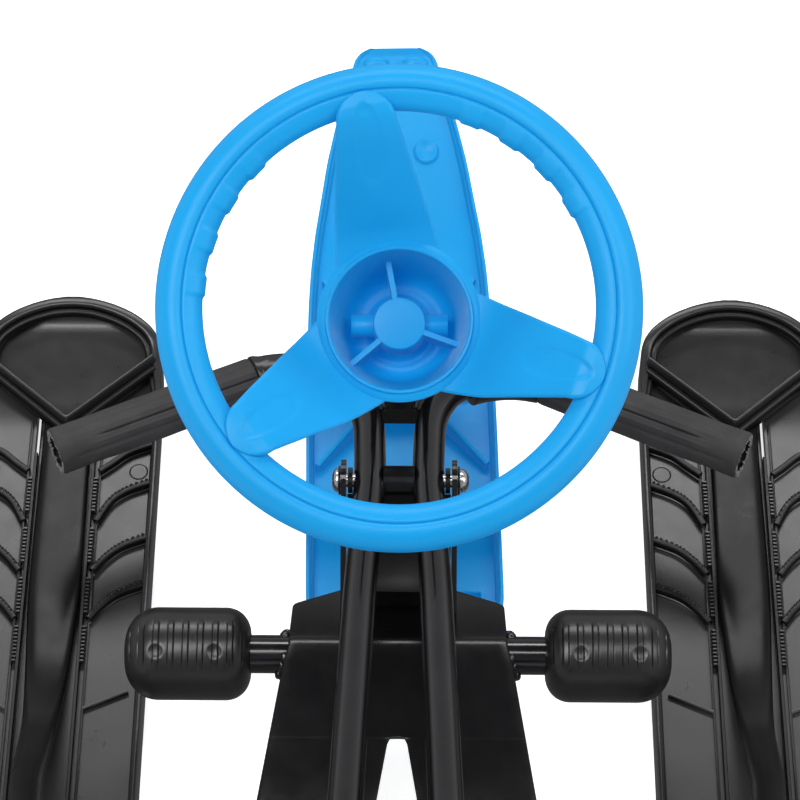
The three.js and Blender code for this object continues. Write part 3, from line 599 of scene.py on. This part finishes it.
# ------------ foam sleeves on the foot rests
arm0, arm1 = Vector((76, 227, 104)), Vector((203, 170.5, 102))
along = (arm1 - arm0).normalized()
level = along.cross(Vector((0, 0, 1))).normalized()
upward = level.cross(along)
FOAM_LONG = 129.0
foam_start = arm1 + along * (3 - FOAM_LONG)
# Angle round the sleeve, depth, width in degrees, and how far it stops before the outer end.
CREASES = [
    (60, 2.5, 2.6, 24), (101, 0.8, 13, 4), (24, 0.9, 12, 8), (150, 0.6, 16, 0), (75, -0.5, 6, 12),
    (43, -0.45, 6, 18),
]


def foam_sleeve():
    stops = [0, 0.6, 1.5, 3] + [3 + (FOAM_LONG - 6) * k / 60 for k in range(1, 60)]
    stops += [FOAM_LONG - 3, FOAM_LONG - 1.6, FOAM_LONG]
    sides = 128

    def point(d, a, r):
        near_end = max(0.0, 1 - (FOAM_LONG - d) / 5)
        ragged = noise.noise(Vector((math.cos(a) * 2.4, math.sin(a) * 2.4, 8)))
        slant = near_end * (0.6 + 0.6 * math.cos(a - 1.0) + 1.1 * ragged)
        return tuple(foam_start + along * (d - slant) + level * (math.cos(a) * r) + upward * (math.sin(a) * r))

    rings = []
    for d in stops:
        ring = []
        end = min(d, FOAM_LONG - d)
        for k in range(sides):
            a = 2 * math.pi * k / sides
            r = 14.2 - 1.0 * max(0.0, 1 - end / 2.2) ** 2
            for centre, deep, wide, short in CREASES:
                gap = (math.degrees(a) - centre + 180) % 360 - 180
                r -= deep * min(1.0, max(0.0, (FOAM_LONG - short - d) / 9)) * math.exp(-(gap / wide * 2) ** 2)
            r += 0.4 * noise.noise(Vector((d * 0.05, math.cos(a) * 2, math.sin(a) * 2)))
            if end < 0.1:
                r += 0.7 * noise.noise(Vector((math.cos(a) * 5, math.sin(a) * 5, 3.0)))
            ring.append(point(d, a, r))
        rings.append(ring)
    ends = []
    for sign, ring_at in ((1, FOAM_LONG), (-1, 0.0)):
        bands = []
        for j in range(11):
            f = j / 10
            ring = []
            for k in range(sides):
                a = 2 * math.pi * k / sides
                r = 13.5 * (1 - f) + 9.6 * f
                rough = 1.3 * noise.noise(Vector((math.cos(a) * r, math.sin(a) * r, ring_at)) * 0.9)
                ring.append(point(ring_at - (0.6 * f + rough * (0 if j == 0 else 1)) * sign, a, r))
            bands.append(ring)
        ends.append(second(skin(bands, caps=False)))
    return joined(skin(rings, caps=False), *ends)


both("foot_foam", foam_sleeve(), (FOAM, CUT), "frame", "grip_foam", angle=70)

# ------------ rubber sleeves over the bends
sleeve_path = [p for p in main_path if p[1] > 195 and 40 < p[0] < foam_start[0] - 3]
sleeve_path = spline([p[:3] + [13.9, 13.9] for p in sleeve_path], 4)
mouth = foam_start - along * 0.4
for d, r in ((7, 13.9), (3, 14.2), (1.2, 14.5), (0.3, 14.2), (0.0, 12.6)):
    sleeve_path.append([*(mouth - along * d), r, r])
sleeve_path[0][3:] = [12.2, 12.2]
both("arm_sleeve", sweep(sleeve_path, 64), RUBBER, "frame", "pedal_rubber", angle=70)


# ------------ bolts and nuts
def bolt_head(x, axis, sign, dome):
    """Domed head with a round socket, on an axis along X, that faces right (sign 1) or left (sign -1)."""
    radius = 7.0
    profile = [(0.01, 0), (radius, 0), (radius, dome * 0.22), (radius * 0.95, dome * 0.45),
               (radius * 0.82, dome * 0.7), (radius * 0.6, dome * 0.9), (radius * 0.4, dome),
               (radius * 0.38, dome * 0.96), (radius * 0.36, dome * 0.45), (0.01, dome * 0.4)]
    return lathe([(r, h * sign) for r, h in profile], 48, about_x((x, axis[1], axis[2])))


shank = lathe([(0.01, -36), (4, -36), (4, 36), (0.01, 36)], 32, about_x(PIVOT))
one("pivot_bolt", joined(shank, bolt_head(35.4, PIVOT, 1, 5.0)), ZINC, "frame", "zinc_steel")
one("pivot_nut", bolt_head(-35.4, PIVOT, -1, 3.4), ZINC, "frame", "zinc_steel")
for name, y in (("front_ski_bolt", 221), ("rear_ski_bolt", -458)):
    head = lathe([(0.01, -14), (3.2, -14), (3.2, 0), (7, 0), (7, 0.8), (6.5, 2), (5.2, 3.2), (3.0, 4.1),
                  (2.6, 4.2), (2.4, 2.0), (0.01, 1.9)], 40, about_z((CX, y, FOOT + 4.1)))
    both(name, head, ZINC, "frame", "zinc_steel")
hub_pin_profile = [(0.01, -26.8), (2.5, -26.8), (2.5, 22.8), (4.1, 22.8), (4.1, 25.4), (3.4, 26.2), (2.0, 26.5),
                   (0.01, 26.5)]
hub_pin = lathe(hub_pin_profile, 32, lambda p: wheel((p[2], p[0], HUB_PIN_Z + p[1])))
one("hub_cross_bolt", hub_pin, ZINC, "steering", "zinc_steel")
COLUMN = 286    # from the wheel's centre down the steering column to the ski's axle
AXLE = (0, WHEEL[1] + COLUMN * math.sin(LEAN), WHEEL[2] - COLUMN * math.cos(LEAN))
axle_shank = lathe([(0.01, -33), (3.4, -33), (4, -32), (4, 25.4), (0.01, 25.4)], 32, about_x(AXLE))
one("ski_axle_bolt", joined(axle_shank, bolt_head(25.4, AXLE, 1, 4.6)), ZINC, "steering", "zinc_steel")

# ------------ foot brake
# Y and Z along the plate's middle, from its front edge over the pedal tube to its rear.
PLATE = [
    [91.0, 76.7], [90.2, 77.2], [88.0, 78.5], [85.0, 80.2], [82.0, 82.0], [79.0, 83.8], [77.5, 84.6],
    [76.5, 85.2], [75.2, 86.0], [74.2, 86.6], [73.0, 87.3], [70.0, 89.0], [60.0, 94.9], [50.0, 100.8],
    [44.4, 104.1], [43.6, 104.6],
]
WRAP = 12.6
for turn in range(50, 96, 5):
    a = math.radians(turn)
    PLATE.append([PEDAL_Y + WRAP * math.cos(a), PEDAL_Z + WRAP * math.sin(a)])
PLATE += [
    [32.0, 107.5], [24.0, 107.0], [10.0, 105.4], [-6.0, 103.4], [-20.4, 101.7], [-21.4, 101.6],
    [-21.8, 101.5], [-22.4, 101.4], [-23.4, 101.3], [-25.0, 101.1], [-27.0, 100.8], [-40.0, 99.1],
    [-57.0, 96.8], [-80.0, 90.8], [-115.0, 81.5], [-150.0, 72.0],
]


def plate_half(y):
    """Half the plate's width at this Y."""
    stops = [(91, 31), (90.2, 33.5), (76.8, 58.4), (75.2, 60.6), (73.4, 61.6), (35.6, 62.5), (24, 65),
             (-57, 77.6), (-150, 93)]
    for (y0, h0), (y1, h1) in zip(stops, stops[1:]):
        if y >= y1:
            return h0 + (h1 - h0) * (y0 - y) / (y0 - y1)
    return stops[-1][1]


def notch_half(y):
    """Half the width of the notch in the plate's rear at this Y."""
    if y > -21.5:
        return 0.0
    return 5.6 * min(1.0, 0.6 + 0.4 * math.sqrt((-21.5 - y) / 3.5)) + max(0.0, -25 - y) * 0.172


def plate_sheet():
    verts, faces = [], []
    cols = 16
    for y, z in PLATE:
        inner, outer = notch_half(y), plate_half(y)
        for k in range(cols):
            verts.append((inner + (outer - 1.5 - inner) * k / (cols - 1), y, z))
        for dx, dz in ((-0.5, -0.4), (0.0, -1.4), (0.1, -4.0), (0.1, -8.0)):
            verts.append((outer + dx, y, z + dz))
    wide = cols + 4
    for r in range(len(PLATE) - 1):
        for k in range(wide - 1):
            a = r * wide + k
            faces.append((a, a + 1, a + wide + 1, a + wide))
    return verts, faces


half = plate_sheet()
bridge = one("brake_bridge_plate", joined(half, mirror(half)), PLATE_PAINT, "brake", "black_paint", angle=50)
thicken(bridge, 2.4)
soften(bridge, 0.5)

WEB = [(68, 95.4), (82, 88.2), (92, 91), (118, 111), (124.5, 119.8), (127, 123.4)]
web_rings = [[(x, y, z) for y, z in WEB] + [(x, y, z - 2.4) for y, z in reversed(WEB)] for x in (-30.2, 30.2)]
one("brake_web", skin(web_rings), SHADE_PAINT, "brake", "black_paint")


def lump(at, size, seed):
    """Small uneven bead of weld."""
    rings = []
    for i in range(1, 12):
        t = math.pi * i / 12
        ring = []
        for k in range(18):
            a = 2 * math.pi * k / 18
            d = Vector((math.sin(t) * math.cos(a), math.sin(t) * math.sin(a), math.cos(t)))
            grow = 1 + 0.22 * noise.noise(d * 1.7 + Vector((seed, 0, 0)))
            ring.append(tuple(at[c] + d[c] * size[c] * grow for c in range(3)))
        rings.append(ring)
    return skin(rings)


beads = joined(lump((63.5, 47.5, 97), (3.6, 2.6, 3.6), 1), lump((64.8, 44.0, 101), (3.0, 3.0, 3.2), 2),
               lump((66.0, 27.0, 96), (3.6, 3.6, 5.0), 3), lump((67.6, 24.5, 91), (2.6, 2.6, 4.0), 4),
               lump((64.2, 31.0, 103), (2.4, 4.6, 2.2), 5))
for side, data in (("left", mirror(beads)), ("right", beads)):
    build(f"{side}_pedal_weld", *data, WELD, "brake", angle=80)

pedal_tube = lathe([(0.01, -151), (11, -151), (11, 151), (0.01, 151)], 48, about_x((0, PEDAL_Y, PEDAL_Z)))
one("pedal_tube", pedal_tube, PAINT, "brake", "black_paint")

GRIP_IN, GRIP_OUT, GRIP_R = 84.0, 156.0, 26.5
INNER_DOME, OUTER_DOME = 15.0, 20.5
BARS = [86.3 + 8.4 * k for k in range(9)]


def grip_radius(h):
    """Smooth outline of the grip: a drum with rounded ends."""
    inner, outer = (h - GRIP_IN) / INNER_DOME, (GRIP_OUT - h) / OUTER_DOME
    if inner < 1:
        return GRIP_R - INNER_DOME * (1 - math.sqrt(1 - (1 - inner) ** 2.2))
    if outer < 1:
        return GRIP_R - OUTER_DOME * (1 - math.sqrt(1 - (1 - outer) ** 2.2))
    return GRIP_R


def grip_part():
    """A drum with nine low ribs and two round dents on the side that faces up and back."""
    steps = [0.0, 0.25, 0.6, 1.0] + [1.5 + 0.3 * k for k in range(231)] + [71.0, 71.4, 71.75, 72.0]
    rings = []
    for s in range(180):
        a = 2 * math.pi * s / 180
        turn = math.degrees(a)
        show = max(0.0, min(1.0, (turn - 72) / 10, (140 - turn) / 12))
        ring = [(GRIP_IN, PEDAL_Y + 11.2 * math.cos(a), PEDAL_Z + 11.2 * math.sin(a))]
        for step in steps:
            h = GRIP_IN + step
            rr = grip_radius(h)
            gap = min(abs(h - bar) for bar in BARS)
            if gap < 1.35:
                rr += 0.4 * show
            elif gap < 2.0:
                rr -= 0.55 * show * (1 - abs(gap - 1.7) / 0.35)
            reach = min(math.hypot(h - x, (turn - 117) * 0.46) for x in (103.4, 136.6))
            if reach < 4.4:
                rr -= 1.1 * (1 - (reach / 4.4) ** 2)
            ring.append((h, PEDAL_Y + rr * math.cos(a), PEDAL_Z + rr * math.sin(a)))
        ring.append((GRIP_OUT, PEDAL_Y, PEDAL_Z))
        rings.append(ring)
    return skin(rings, caps=False, closed=False, looped=True)


both("pedal_grip", grip_part(), RUBBER, "brake", "pedal_rubber", angle=70)


# ------------ return springs
def spring_part():
    """A coil with straight wire ends, from the plate's leg up; it stops short of the main tube."""
    wire, coil_radius, turns, per_turn = 0.85, 5.2, 26, 14
    low, high = Vector((62, -132, 88)), Vector((41, -139.3, 203))
    long = (high - low).length
    axis = (high - low).normalized()
    u = axis.orthogonal().normalized()
    v = axis.cross(u)
    points = [low + axis * -12, low + axis * 2]
    count = turns * per_turn
    for i in range(count + 1):
        t = i / count
        a = 2 * math.pi * turns * t
        r = coil_radius * min(1.0, t * 12 + 0.25, (1 - t) * 12 + 0.25)
        points.append(low + axis * (long * (0.09 + 0.82 * t)) + u * (math.cos(a) * r) + v * (math.sin(a) * r))
    points += [high + axis * -3, high + axis * 9]
    return sweep([[*p, wire, wire] for p in points], 10, level=False)


spring = spring_part()
for side, sign in (("left", -1), ("right", 1)):
    data = spring if sign > 0 else mirror(spring)
    coil = build(f"{side}_spring_form", *data, ZINC, None, angle=80)
    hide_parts(f"{side}_return_spring")
    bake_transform(coil)


# ------------ front ski
def lifted(stations, y):
    """The station at this Y, between the two nearest ones."""
    for a, b in zip(stations, stations[1:]):
        if a[0] <= y <= b[0]:
            t = (y - a[0]) / (b[0] - a[0])
            return [p + (q - p) * t for p, q in zip(a, b)]
    return list(stations[-1] if y > stations[-1][0] else stations[0])


SKI_HIGH = 30
# Y, half width, how far the ski is lifted there, and the depth of its deck below its lip.
FRONT = [
    [90, 46, 3, 4], [92, 52, 2, 8], [98, 57, 1, 10], [112, 60, 0, 10], [240, 60, 0, 10], [300, 59.5, 0.6, 10],
    [335, 58.5, 2.4, 10], [360, 57, 6, 10], [385, 54, 12.8, 10], [402, 51, 18, 10], [430, 46, 29, 9],
    [456, 39.5, 40, 8], [474, 33.6, 48.6, 6.5], [481, 31, 52, 6], [482.5, 30.4, 52.8, 1.7],
    [488, 28.6, 55.5, 1.6], [491, 27.9, 57, 1.6], [494, 26.6, 58.5, 1.6], [496.6, 24.5, 59.9, 1.5],
    [497.8, 22.9, 60.6, 1.4], [498.4, 21.8, 60.9, 0.3], [500, 17.5, 62, 0.2],
]


def tray_ring(x0, y, half, lift, sink, channel=0.0):
    """A ski's section at this Y: a tray with a round lip, a channel in its deck and a tunnel under it."""
    top = SKI_HIGH + lift
    deck = top - sink
    inner = half - min(2.6, half * 0.3)
    ledge = sink * 0.45
    groove = min(17.0, half * 0.3)
    drop = channel + 0.01 if channel > 0 else 0.0
    side = [
        (half, lift + 3), (half, top - 1.3), (half - 0.35, top - 0.4), (half - 1.1, top), (inner + 0.9, top),
        (inner + 0.3, top - 0.4), (inner, top - 1.2 * min(1.0, sink / 6)), (inner - 0.3, top - ledge),
        (inner - 0.9, top - ledge - 0.3), (inner - 1.3, top - ledge - 0.7), (inner - 1.7, deck + sink * 0.08),
        (inner - 2.4, deck), (inner - 3.4, deck), (groove + 2.0, deck), (groove + 0.6, deck),
        (groove + 0.1, deck - drop * 0.3), (groove, deck - drop),
    ]
    keel = min(14.0, half * 0.35)
    tunnel = 12 - min(9.0, lift)
    under = [
        (half - 1.2, lift), (half - keel, lift), (half - keel - 3, lift + tunnel),
        (0.3 * groove, lift + tunnel),
    ]
    ring = [(x0 + x, y, z) for x, z in side]
    ring += [(x0 - x, y, z) for x, z in reversed(side)]
    ring += [(x0 - x, y, z) for x, z in under]
    ring += [(x0 + x, y, z) for x, z in reversed(under)]
    return ring


def smooth_rows(stations, step):
    """Stations at close steps, smoothed except near the two ends."""
    ys = []
    y = stations[0][0]
    while y < stations[-1][0]:
        ys.append(y)
        y += step if stations[0][0] + 14 < y < stations[-1][0] - 30 else 1.5
    ys.append(stations[-1][0])
    rows = []
    for y in ys:
        spread = 3 if stations[0][0] + 14 < y < stations[-1][0] - 24 else 0
        samples = [lifted(stations, y + d) for d in (-spread, 0, spread)]
        rows.append([y] + [sum(s[k] for s in samples) / 3 for k in range(1, len(stations[0]))])
    return rows


ski_parts = [skin([tray_ring(0, y, half, lift, sink) for y, half, lift, sink in smooth_rows(FRONT, 8)])]
pad = [(0.01, 2.6), (0.35, 2.4), (0.68, 1.7), (0.9, 0.7), (1.0, -1.6)]
for side in (-1, 1):
    ski_parts.append(lathe(pad, 32, lambda p: (side * 13.2 + 8.9 * p[0], 491.4 + 5.3 * p[1],
                                               85.5 + 2.65 * p[1] + 1.2 * p[2])))
ski_parts.append(sweep([[0, 485.8, 82.3, 5.3, 2.6], [0, 493.8, 86.4, 5.3, 2.6]], 16, power=5))
rear_wall = [[x, y, 25.5, 2, 4.5] for x, y in ((-54, 98), (-40, 92.5), (40, 92.5), (54, 98))]
ski_parts.append(sweep(bend(rear_wall, 8, 5), 12, level=False))

# The saddle that the axle passes through, with ribs, two raised frames and a dimple beside it.
saddle_rings = []
for x in (-16, -15.2, 15.2, 16):
    grow = 0.0 if abs(x) < 15.5 else -0.8
    ring = [(x, AXLE[1] - 24 - grow, 19.0)]
    for k in range(13):
        a = math.radians(180 - k * 15)
        ring.append((x, AXLE[1] + (10.5 + grow) * math.cos(a), AXLE[2] + (10.5 + grow) * math.sin(a)))
    ring.append((x, AXLE[1] + 24 + grow, 19.0))
    saddle_rings.append(ring)
ski_parts.append(skin(saddle_rings))
for side in (-1, 1):
    for points in (
        [[side * 12, AXLE[1] - 14, 27, 2.2, 12], [side * 27, 244, 25, 2.2, 8], [side * 53, 213, 22, 2.2, 5]],
        [[side * 15, AXLE[1] + 8, 30, 2.2, 10], [side * 30, 318, 27, 2.2, 6], [side * 48, 356, 26, 2.2, 3]],
        [[side * 18, AXLE[1] - 2, 27, 1.6, 8], [side * 50, AXLE[1] - 2, 23, 1.6, 4]],
    ):
        ski_parts.append(sweep(points, 12, power=5))
    raised = [[side * x, y, 21, 1.4, 1.8] for x, y in ((30, 102), (47, 102), (47, 122), (30, 122), (30, 102))]
    ski_parts.append(sweep(bend(raised, 3, 4), 10, level=False))
dimple = lathe([(0.01, 0.6), (4.6, 0.7), (5.6, 1.5), (6.8, 1.8), (7.8, 1.2), (8.4, 0.0)], 40,
               lambda p: (19.5 + p[0], 441 + p[1] * 0.93, 55.6 + p[2] + (p[1] * 0.42)))
ski_parts.append(dimple)
SKI_SWING = math.radians(1.3)


def swung(p):
    """The ski sits a little to the left of straight ahead on its pin."""
    c, s = math.cos(SKI_SWING), math.sin(SKI_SWING)
    ahead = p[1] - AXLE[1]
    return p[0] * c - ahead * s, AXLE[1] + p[0] * s + ahead * c, p[2]


ski_form = one("front_ski", placed(joined(*ski_parts), swung), BLUE, "ski", "blue_plastic", angle=38)
# The black paint doesn't mirror the blue pieces.
for blue in (rim_form, spider_form, ski_form):
    blue.visible_glossy = False

# ------------ side skis
# As FRONT, with the depth of the channel last.
SIDE = [
    [-500, 44, 4, 8, 0.4], [-497, 50, 3, 9, 0.5], [-492, 54.5, 2, 10, 1], [-484, 57, 1, 10, 3.5],
    [-470, 58, 0, 10, 3.5], [244, 58, 0, 10, 3.5], [248, 58, 0.1, 10, 0], [262, 58, 1.8, 10, 0],
    [274, 58, 3.9, 10.2, 0], [283, 58, 5.8, 10.4, 0], [290, 57.6, 7.6, 10.7, 0], [296, 56.6, 9.4, 11, 0],
    [301, 54.6, 11.2, 11.5, 0], [306, 51, 13, 11.9, 0], [310, 46.6, 14.4, 12.1, 0],
    [314, 40.8, 15.8, 11.9, 0], [317.5, 34, 17.1, 10, 0], [320.6, 26, 18.2, 7, 0], [322.8, 18, 19.1, 4, 0],
    [324, 11, 19.7, 2, 0], [324.5, 5, 20, 1, 0],
]


def cut_slots(part):
    """Cuts the two narrow slots beside the channel out of a ski's body."""

    def thing(name, data):
        mesh = bpy.data.meshes.new(name)
        mesh.from_pydata(data[0], [], data[1])
        bm = bmesh.new()
        bm.from_mesh(mesh)
        bmesh.ops.recalc_face_normals(bm, faces=bm.faces)
        bm.to_mesh(mesh)
        bm.free()
        item = bpy.data.objects.new(name, mesh)
        scene.collection.objects.link(item)
        return item

    body = thing("slot_body", part)
    slots = [block(CX + x0, CX + x1, 221.5, 258, -9, 60) for x0, x1 in ((-19.8, -17.3), (17.3, 19.8))]
    cutter = thing("slot_cutter", joined(*slots))
    mod = body.modifiers.new("slots", "BOOLEAN")
    mod.operation = "DIFFERENCE"
    mod.object = cutter
    mesh = bpy.data.meshes.new_from_object(body.evaluated_get(bpy.context.evaluated_depsgraph_get()))
    out = [tuple(v.co) for v in mesh.vertices], [tuple(f.vertices) for f in mesh.polygons]
    bpy.data.objects.remove(body)
    bpy.data.objects.remove(cutter)
    return out


rows = smooth_rows(SIDE, 9)
side_parts = [cut_slots(skin([tray_ring(CX, *row) for row in rows]))]

edge = [[CX + lifted(SIDE, y)[1], y, 30 + lifted(SIDE, y)[2]]
        for y in (236, 244, 254, 264, 274, 283, 290, 296, 301, 306, 310, 314, 317.5, 320.6, 322.8, 324)]
edge += [[CX, 324.6, 50.1]] + [[2 * CX - x, y, z] for x, y, z in reversed(edge)]
edge = spline(edge, 3)


def along_edge(inset, drop, wide, high, power):
    """A band that follows the ski's front edge, this far inside it and below it."""
    path = []
    for i, p in enumerate(edge):
        q0, q1 = edge[max(0, i - 1)], edge[min(len(edge) - 1, i + 1)]
        run = Vector((q1[0] - q0[0], q1[1] - q0[1])).normalized()
        swell = max(0.12, min(1.0, (p[1] - 236) / 50))
        path.append([p[0] - run.y * inset * swell, p[1] + run.x * inset * swell, p[2] - drop * swell,
                     wide * swell, high * swell])
    return sweep(path, 18, power=power)


side_parts.append(along_edge(3.3, 1.6, 3.2, 2.2, 3.2))
# The lower band inside the front lip takes the darker ski plastic as painted shade in the groove.
side_parts.append(second(along_edge(8.0, 6.2, 2.6, 3.0, 3.2)))
# The upper bar of the V lip keeps the ski plastic; the lower bar beneath it takes the darker copy as painted
# shadow under the overhanging lip.
for shift, high, wide, painted_shadow in ((0, 31.5, 1.7, False), (-4.2, 25.5, 3.2, True)):
    v_lip = [[CX + x, 241 + 0.82 * abs(x) + shift, high - 1.8 + 0.157 * abs(x), wide, 5.6 - 0.01 * abs(x)]
             for x in (-53, -30, -4, 0, 4, 30, 53)]
    bar = sweep(bend(v_lip, 4, 5), 18, power=2.6)
    side_parts.append(second(bar) if painted_shadow else bar)


def knurl(p, q, width, tall, pitch=2.6):
    """A row of small teeth along a wall from p to q."""
    out = []
    a, b = Vector(p), Vector(q)
    axis = (b - a).normalized()
    across = axis.cross(Vector((0, 0, 1))).normalized()
    corners, faces = block(-1, 1, -1, 1, -1, 1)
    for i in range(int((b - a).length / pitch)):
        c = a + axis * (pitch * (i + 0.5))
        verts = []
        for sx, sy, sz in corners:
            shrink = 0.62 if sz > 0 else 1.0
            reach = across * (sx * width / 2 * shrink)
            verts.append(tuple(c + reach + axis * (sy * pitch * 0.3 * shrink) + Vector((0, 0, sz * tall / 2))))
        out.append((verts, faces))
    return joined(*out)


# Y where each curved rib meets the ski's wall, and where it meets the channel.
CHEVRONS = [(228, 208), (199, 171), (158.6, 135), (124.8, 101)]
for side in (-1, 1):
    wall = CX + side * 18.2
    # The rib along the channel wall, the curved ribs and their studs take the darker ski plastic as painted
    # shade.
    side_parts.append(second(sweep([[wall, -470, 21.6, 1.2, 3.4], [wall, 221, 21.6, 1.2, 3.4]], 10, power=5)))
    outer = CX + side * 22.6
    side_parts.append(sweep([[outer, -470, 20.8, 0.8, 2.2], [outer, 246, 20.8, 0.8, 2.2]], 8, power=5))
    for wall_y, channel_y in CHEVRONS:
        arc = [[CX + side * 54, wall_y + 0.6, 22.0, 2.4, 3.4], [CX + side * 40, wall_y - 5.5, 22.0, 2.4, 3.4],
               [CX + side * 30, wall_y - 14, 22.0, 2.4, 3.4], [CX + side * 22.5, channel_y, 22.0, 2.4, 3.4]]
        smooth = spline(arc, 5)
        side_parts.append(second(sweep(smooth, 12, power=3)))
        side_parts.append(sweep([[p[0], p[1] - 3.0, 20.4, 0.6, 1.6] for p in smooth], 8, power=3))
        if wall_y < 220:
            run = [Vector(p[:3]) for p in smooth]
            for index in range(1, len(run) - 2):
                stud = lump((run[index][0], run[index][1] + 1.7, 24.4), (1.1, 1.5, 1.3), index)
                side_parts.append(second(stud))
        teeth_x = wall + side * 2.2
        side_parts.append(knurl((teeth_x, channel_y - 5, 24.2), (teeth_x, channel_y - 33, 24.2), 3.4, 2.2))
    disc = [(0.01, 0.1), (4.7, 0.1), (5.0, 0.1), (5.4, 0.5), (5.8, 0.1), (6.0, -0.2)]
    side_parts.append(lathe(disc, 32, about_z((CX + side * 46.4, 210, 20.1))))
    for y in range(40, -460, -90):
        cross_rib = [[CX + side * 23, y, 21, 1.2, 2.0], [CX + side * 49, y + 12, 21, 1.2, 2.0]]
        side_parts.append(sweep(cross_rib, 8, power=4))
both("side_ski", joined(*side_parts), (SKI, SKI_SHADE), "frame", "ski_plastic", angle=40)


# ------------ seat
def slab(half, front, back, corner, rows, per=10):
    """A block with round corners; each row is an inset and a height."""
    rings = []
    for inset, z in rows:
        x, ring = half - inset, []
        front_y, back_y = front - inset - corner, back + inset + corner
        for cx, cy, start in ((x - corner, front_y, 0), (corner - x, front_y, 90), (corner - x, back_y, 180),
                              (x - corner, back_y, 270)):
            for k in range(per + 1):
                a = math.radians(start + k * 90 / per)
                ring.append((cx + math.cos(a) * corner, cy + math.sin(a) * corner, z))
        rings.append(ring)
    return skin(rings)


SEAT_LOW, SEAT_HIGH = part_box("seat_cushion")
low_z, high_z = SEAT_LOW[2] / MM, SEAT_HIGH[2] / MM
seat_data = slab(101, -209, -466, 44, [
    (6, low_z), (1, low_z + 5), (0, low_z + 12), (0, low_z + 24), (4, low_z + 31), (12, low_z + 35),
    (30, low_z + 37),
])
seat = build("seat_cushion_form", *seat_data, COVER, None, angle=80)
SEAT_MIDDLE = -0.3375                  # Y, in metres, as are the measures below
SEAT_WIDE, SEAT_LONG = 0.105, 0.1325   # half sizes of the crowned top
SWELL = 0.009                          # the furthest that the cloth may move


def applied(item):
    """Leaves the object with the mesh that its modifiers give."""
    mesh = bpy.data.meshes.new_from_object(item.evaluated_get(bpy.context.evaluated_depsgraph_get()))
    item.modifiers.clear()
    item.data = mesh
    return mesh


remesh = seat.modifiers.new("remesh", "REMESH")
remesh.mode = "VOXEL"
remesh.voxel_size = 0.006
before = [v.co.copy() for v in applied(seat).vertices]
cloth = seat.modifiers.new("cloth", "CLOTH")
cloth.settings.use_pressure = True
cloth.settings.uniform_pressure_force = 4.0
cloth.settings.tension_stiffness = 30
cloth.settings.compression_stiffness = 30
cloth.settings.bending_stiffness = 2.0
cloth.settings.effector_weights.gravity = 0.0
cloth.settings.quality = 4
cloth.collision_settings.use_collision = False
for step in range(1, 21):
    scene.frame_set(step)
blown = applied(seat)
scene.frame_set(1)
for v, rest in zip(blown.vertices, before):
    move = v.co - rest
    if move.length > SWELL:
        move *= SWELL / move.length
    v.co = rest + move
    x, y, z = v.co
    round_x, round_y = x / SEAT_WIDE, (y - SEAT_MIDDLE) / SEAT_LONG
    crown = 0.005 * max(0.0, 1 - round_x ** 4) * max(0.0, 1 - round_y ** 4)
    channel = 0.004 * math.exp(-((abs(x) - 0.052) / 0.0042) ** 2) if abs(y - SEAT_MIDDLE) < 0.12 else 0
    if z > (low_z + 20) * MM:
        z += crown - channel
    z = max(z, low_z * MM)
    z = min(z, high_z * MM + 0.006)
    v.co = (x, y, z)
subdivision = seat.modifiers.new("smooth", "SUBSURF")
subdivision.levels = 1
subdivision.render_levels = 1
for polygon in seat.data.polygons:
    polygon.use_smooth = True
if not seat.data.materials:
    seat.data.materials.append(COVER)
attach(seat, "frame")
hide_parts("seat_cushion")

seat_skin = BVHTree.FromPolygons([v.co for v in seat.data.vertices], [f.vertices for f in seat.data.polygons])


def seat_line(z, thick, name):
    """A cord of piping that lies on the cushion's side at this height."""
    half, front, back, corner = 131, -179, -496, 60
    centres = [(half - corner, front - corner), (corner - half, front - corner), (corner - half, back + corner),
               (half - corner, back + corner)]
    points = []
    for index, (cx, cy) in enumerate(centres):
        nx, ny = centres[(index + 1) % 4]
        rays = [(cx, cy, index * 90 + k * 11.25) for k in range(9)]
        rays += [(cx + (nx - cx) * k / 12, cy + (ny - cy) * k / 12, index * 90 + 90) for k in range(1, 12)]
        for x, y, turn in rays:
            out = Vector((math.cos(math.radians(turn)), math.sin(math.radians(turn)), 0))
            hit = seat_skin.ray_cast((Vector((x, y, z)) + out * corner) * MM, -out)[0] / MM
            points.append(hit + out * thick * 0.35)
    count = len(points)
    smooth = [(points[i - 1] + points[i] * 2 + points[(i + 1) % count]) / 4 for i in range(count)]
    part = sweep([[*p, thick, thick] for p in smooth], 12, looped=True)
    build(name, *part, PIPING, "frame", angle=80)


seat_line(low_z + 6.0, 2.0, "seat_lower_piping")
seat_line(low_z + 27, 1.9, "seat_upper_piping")
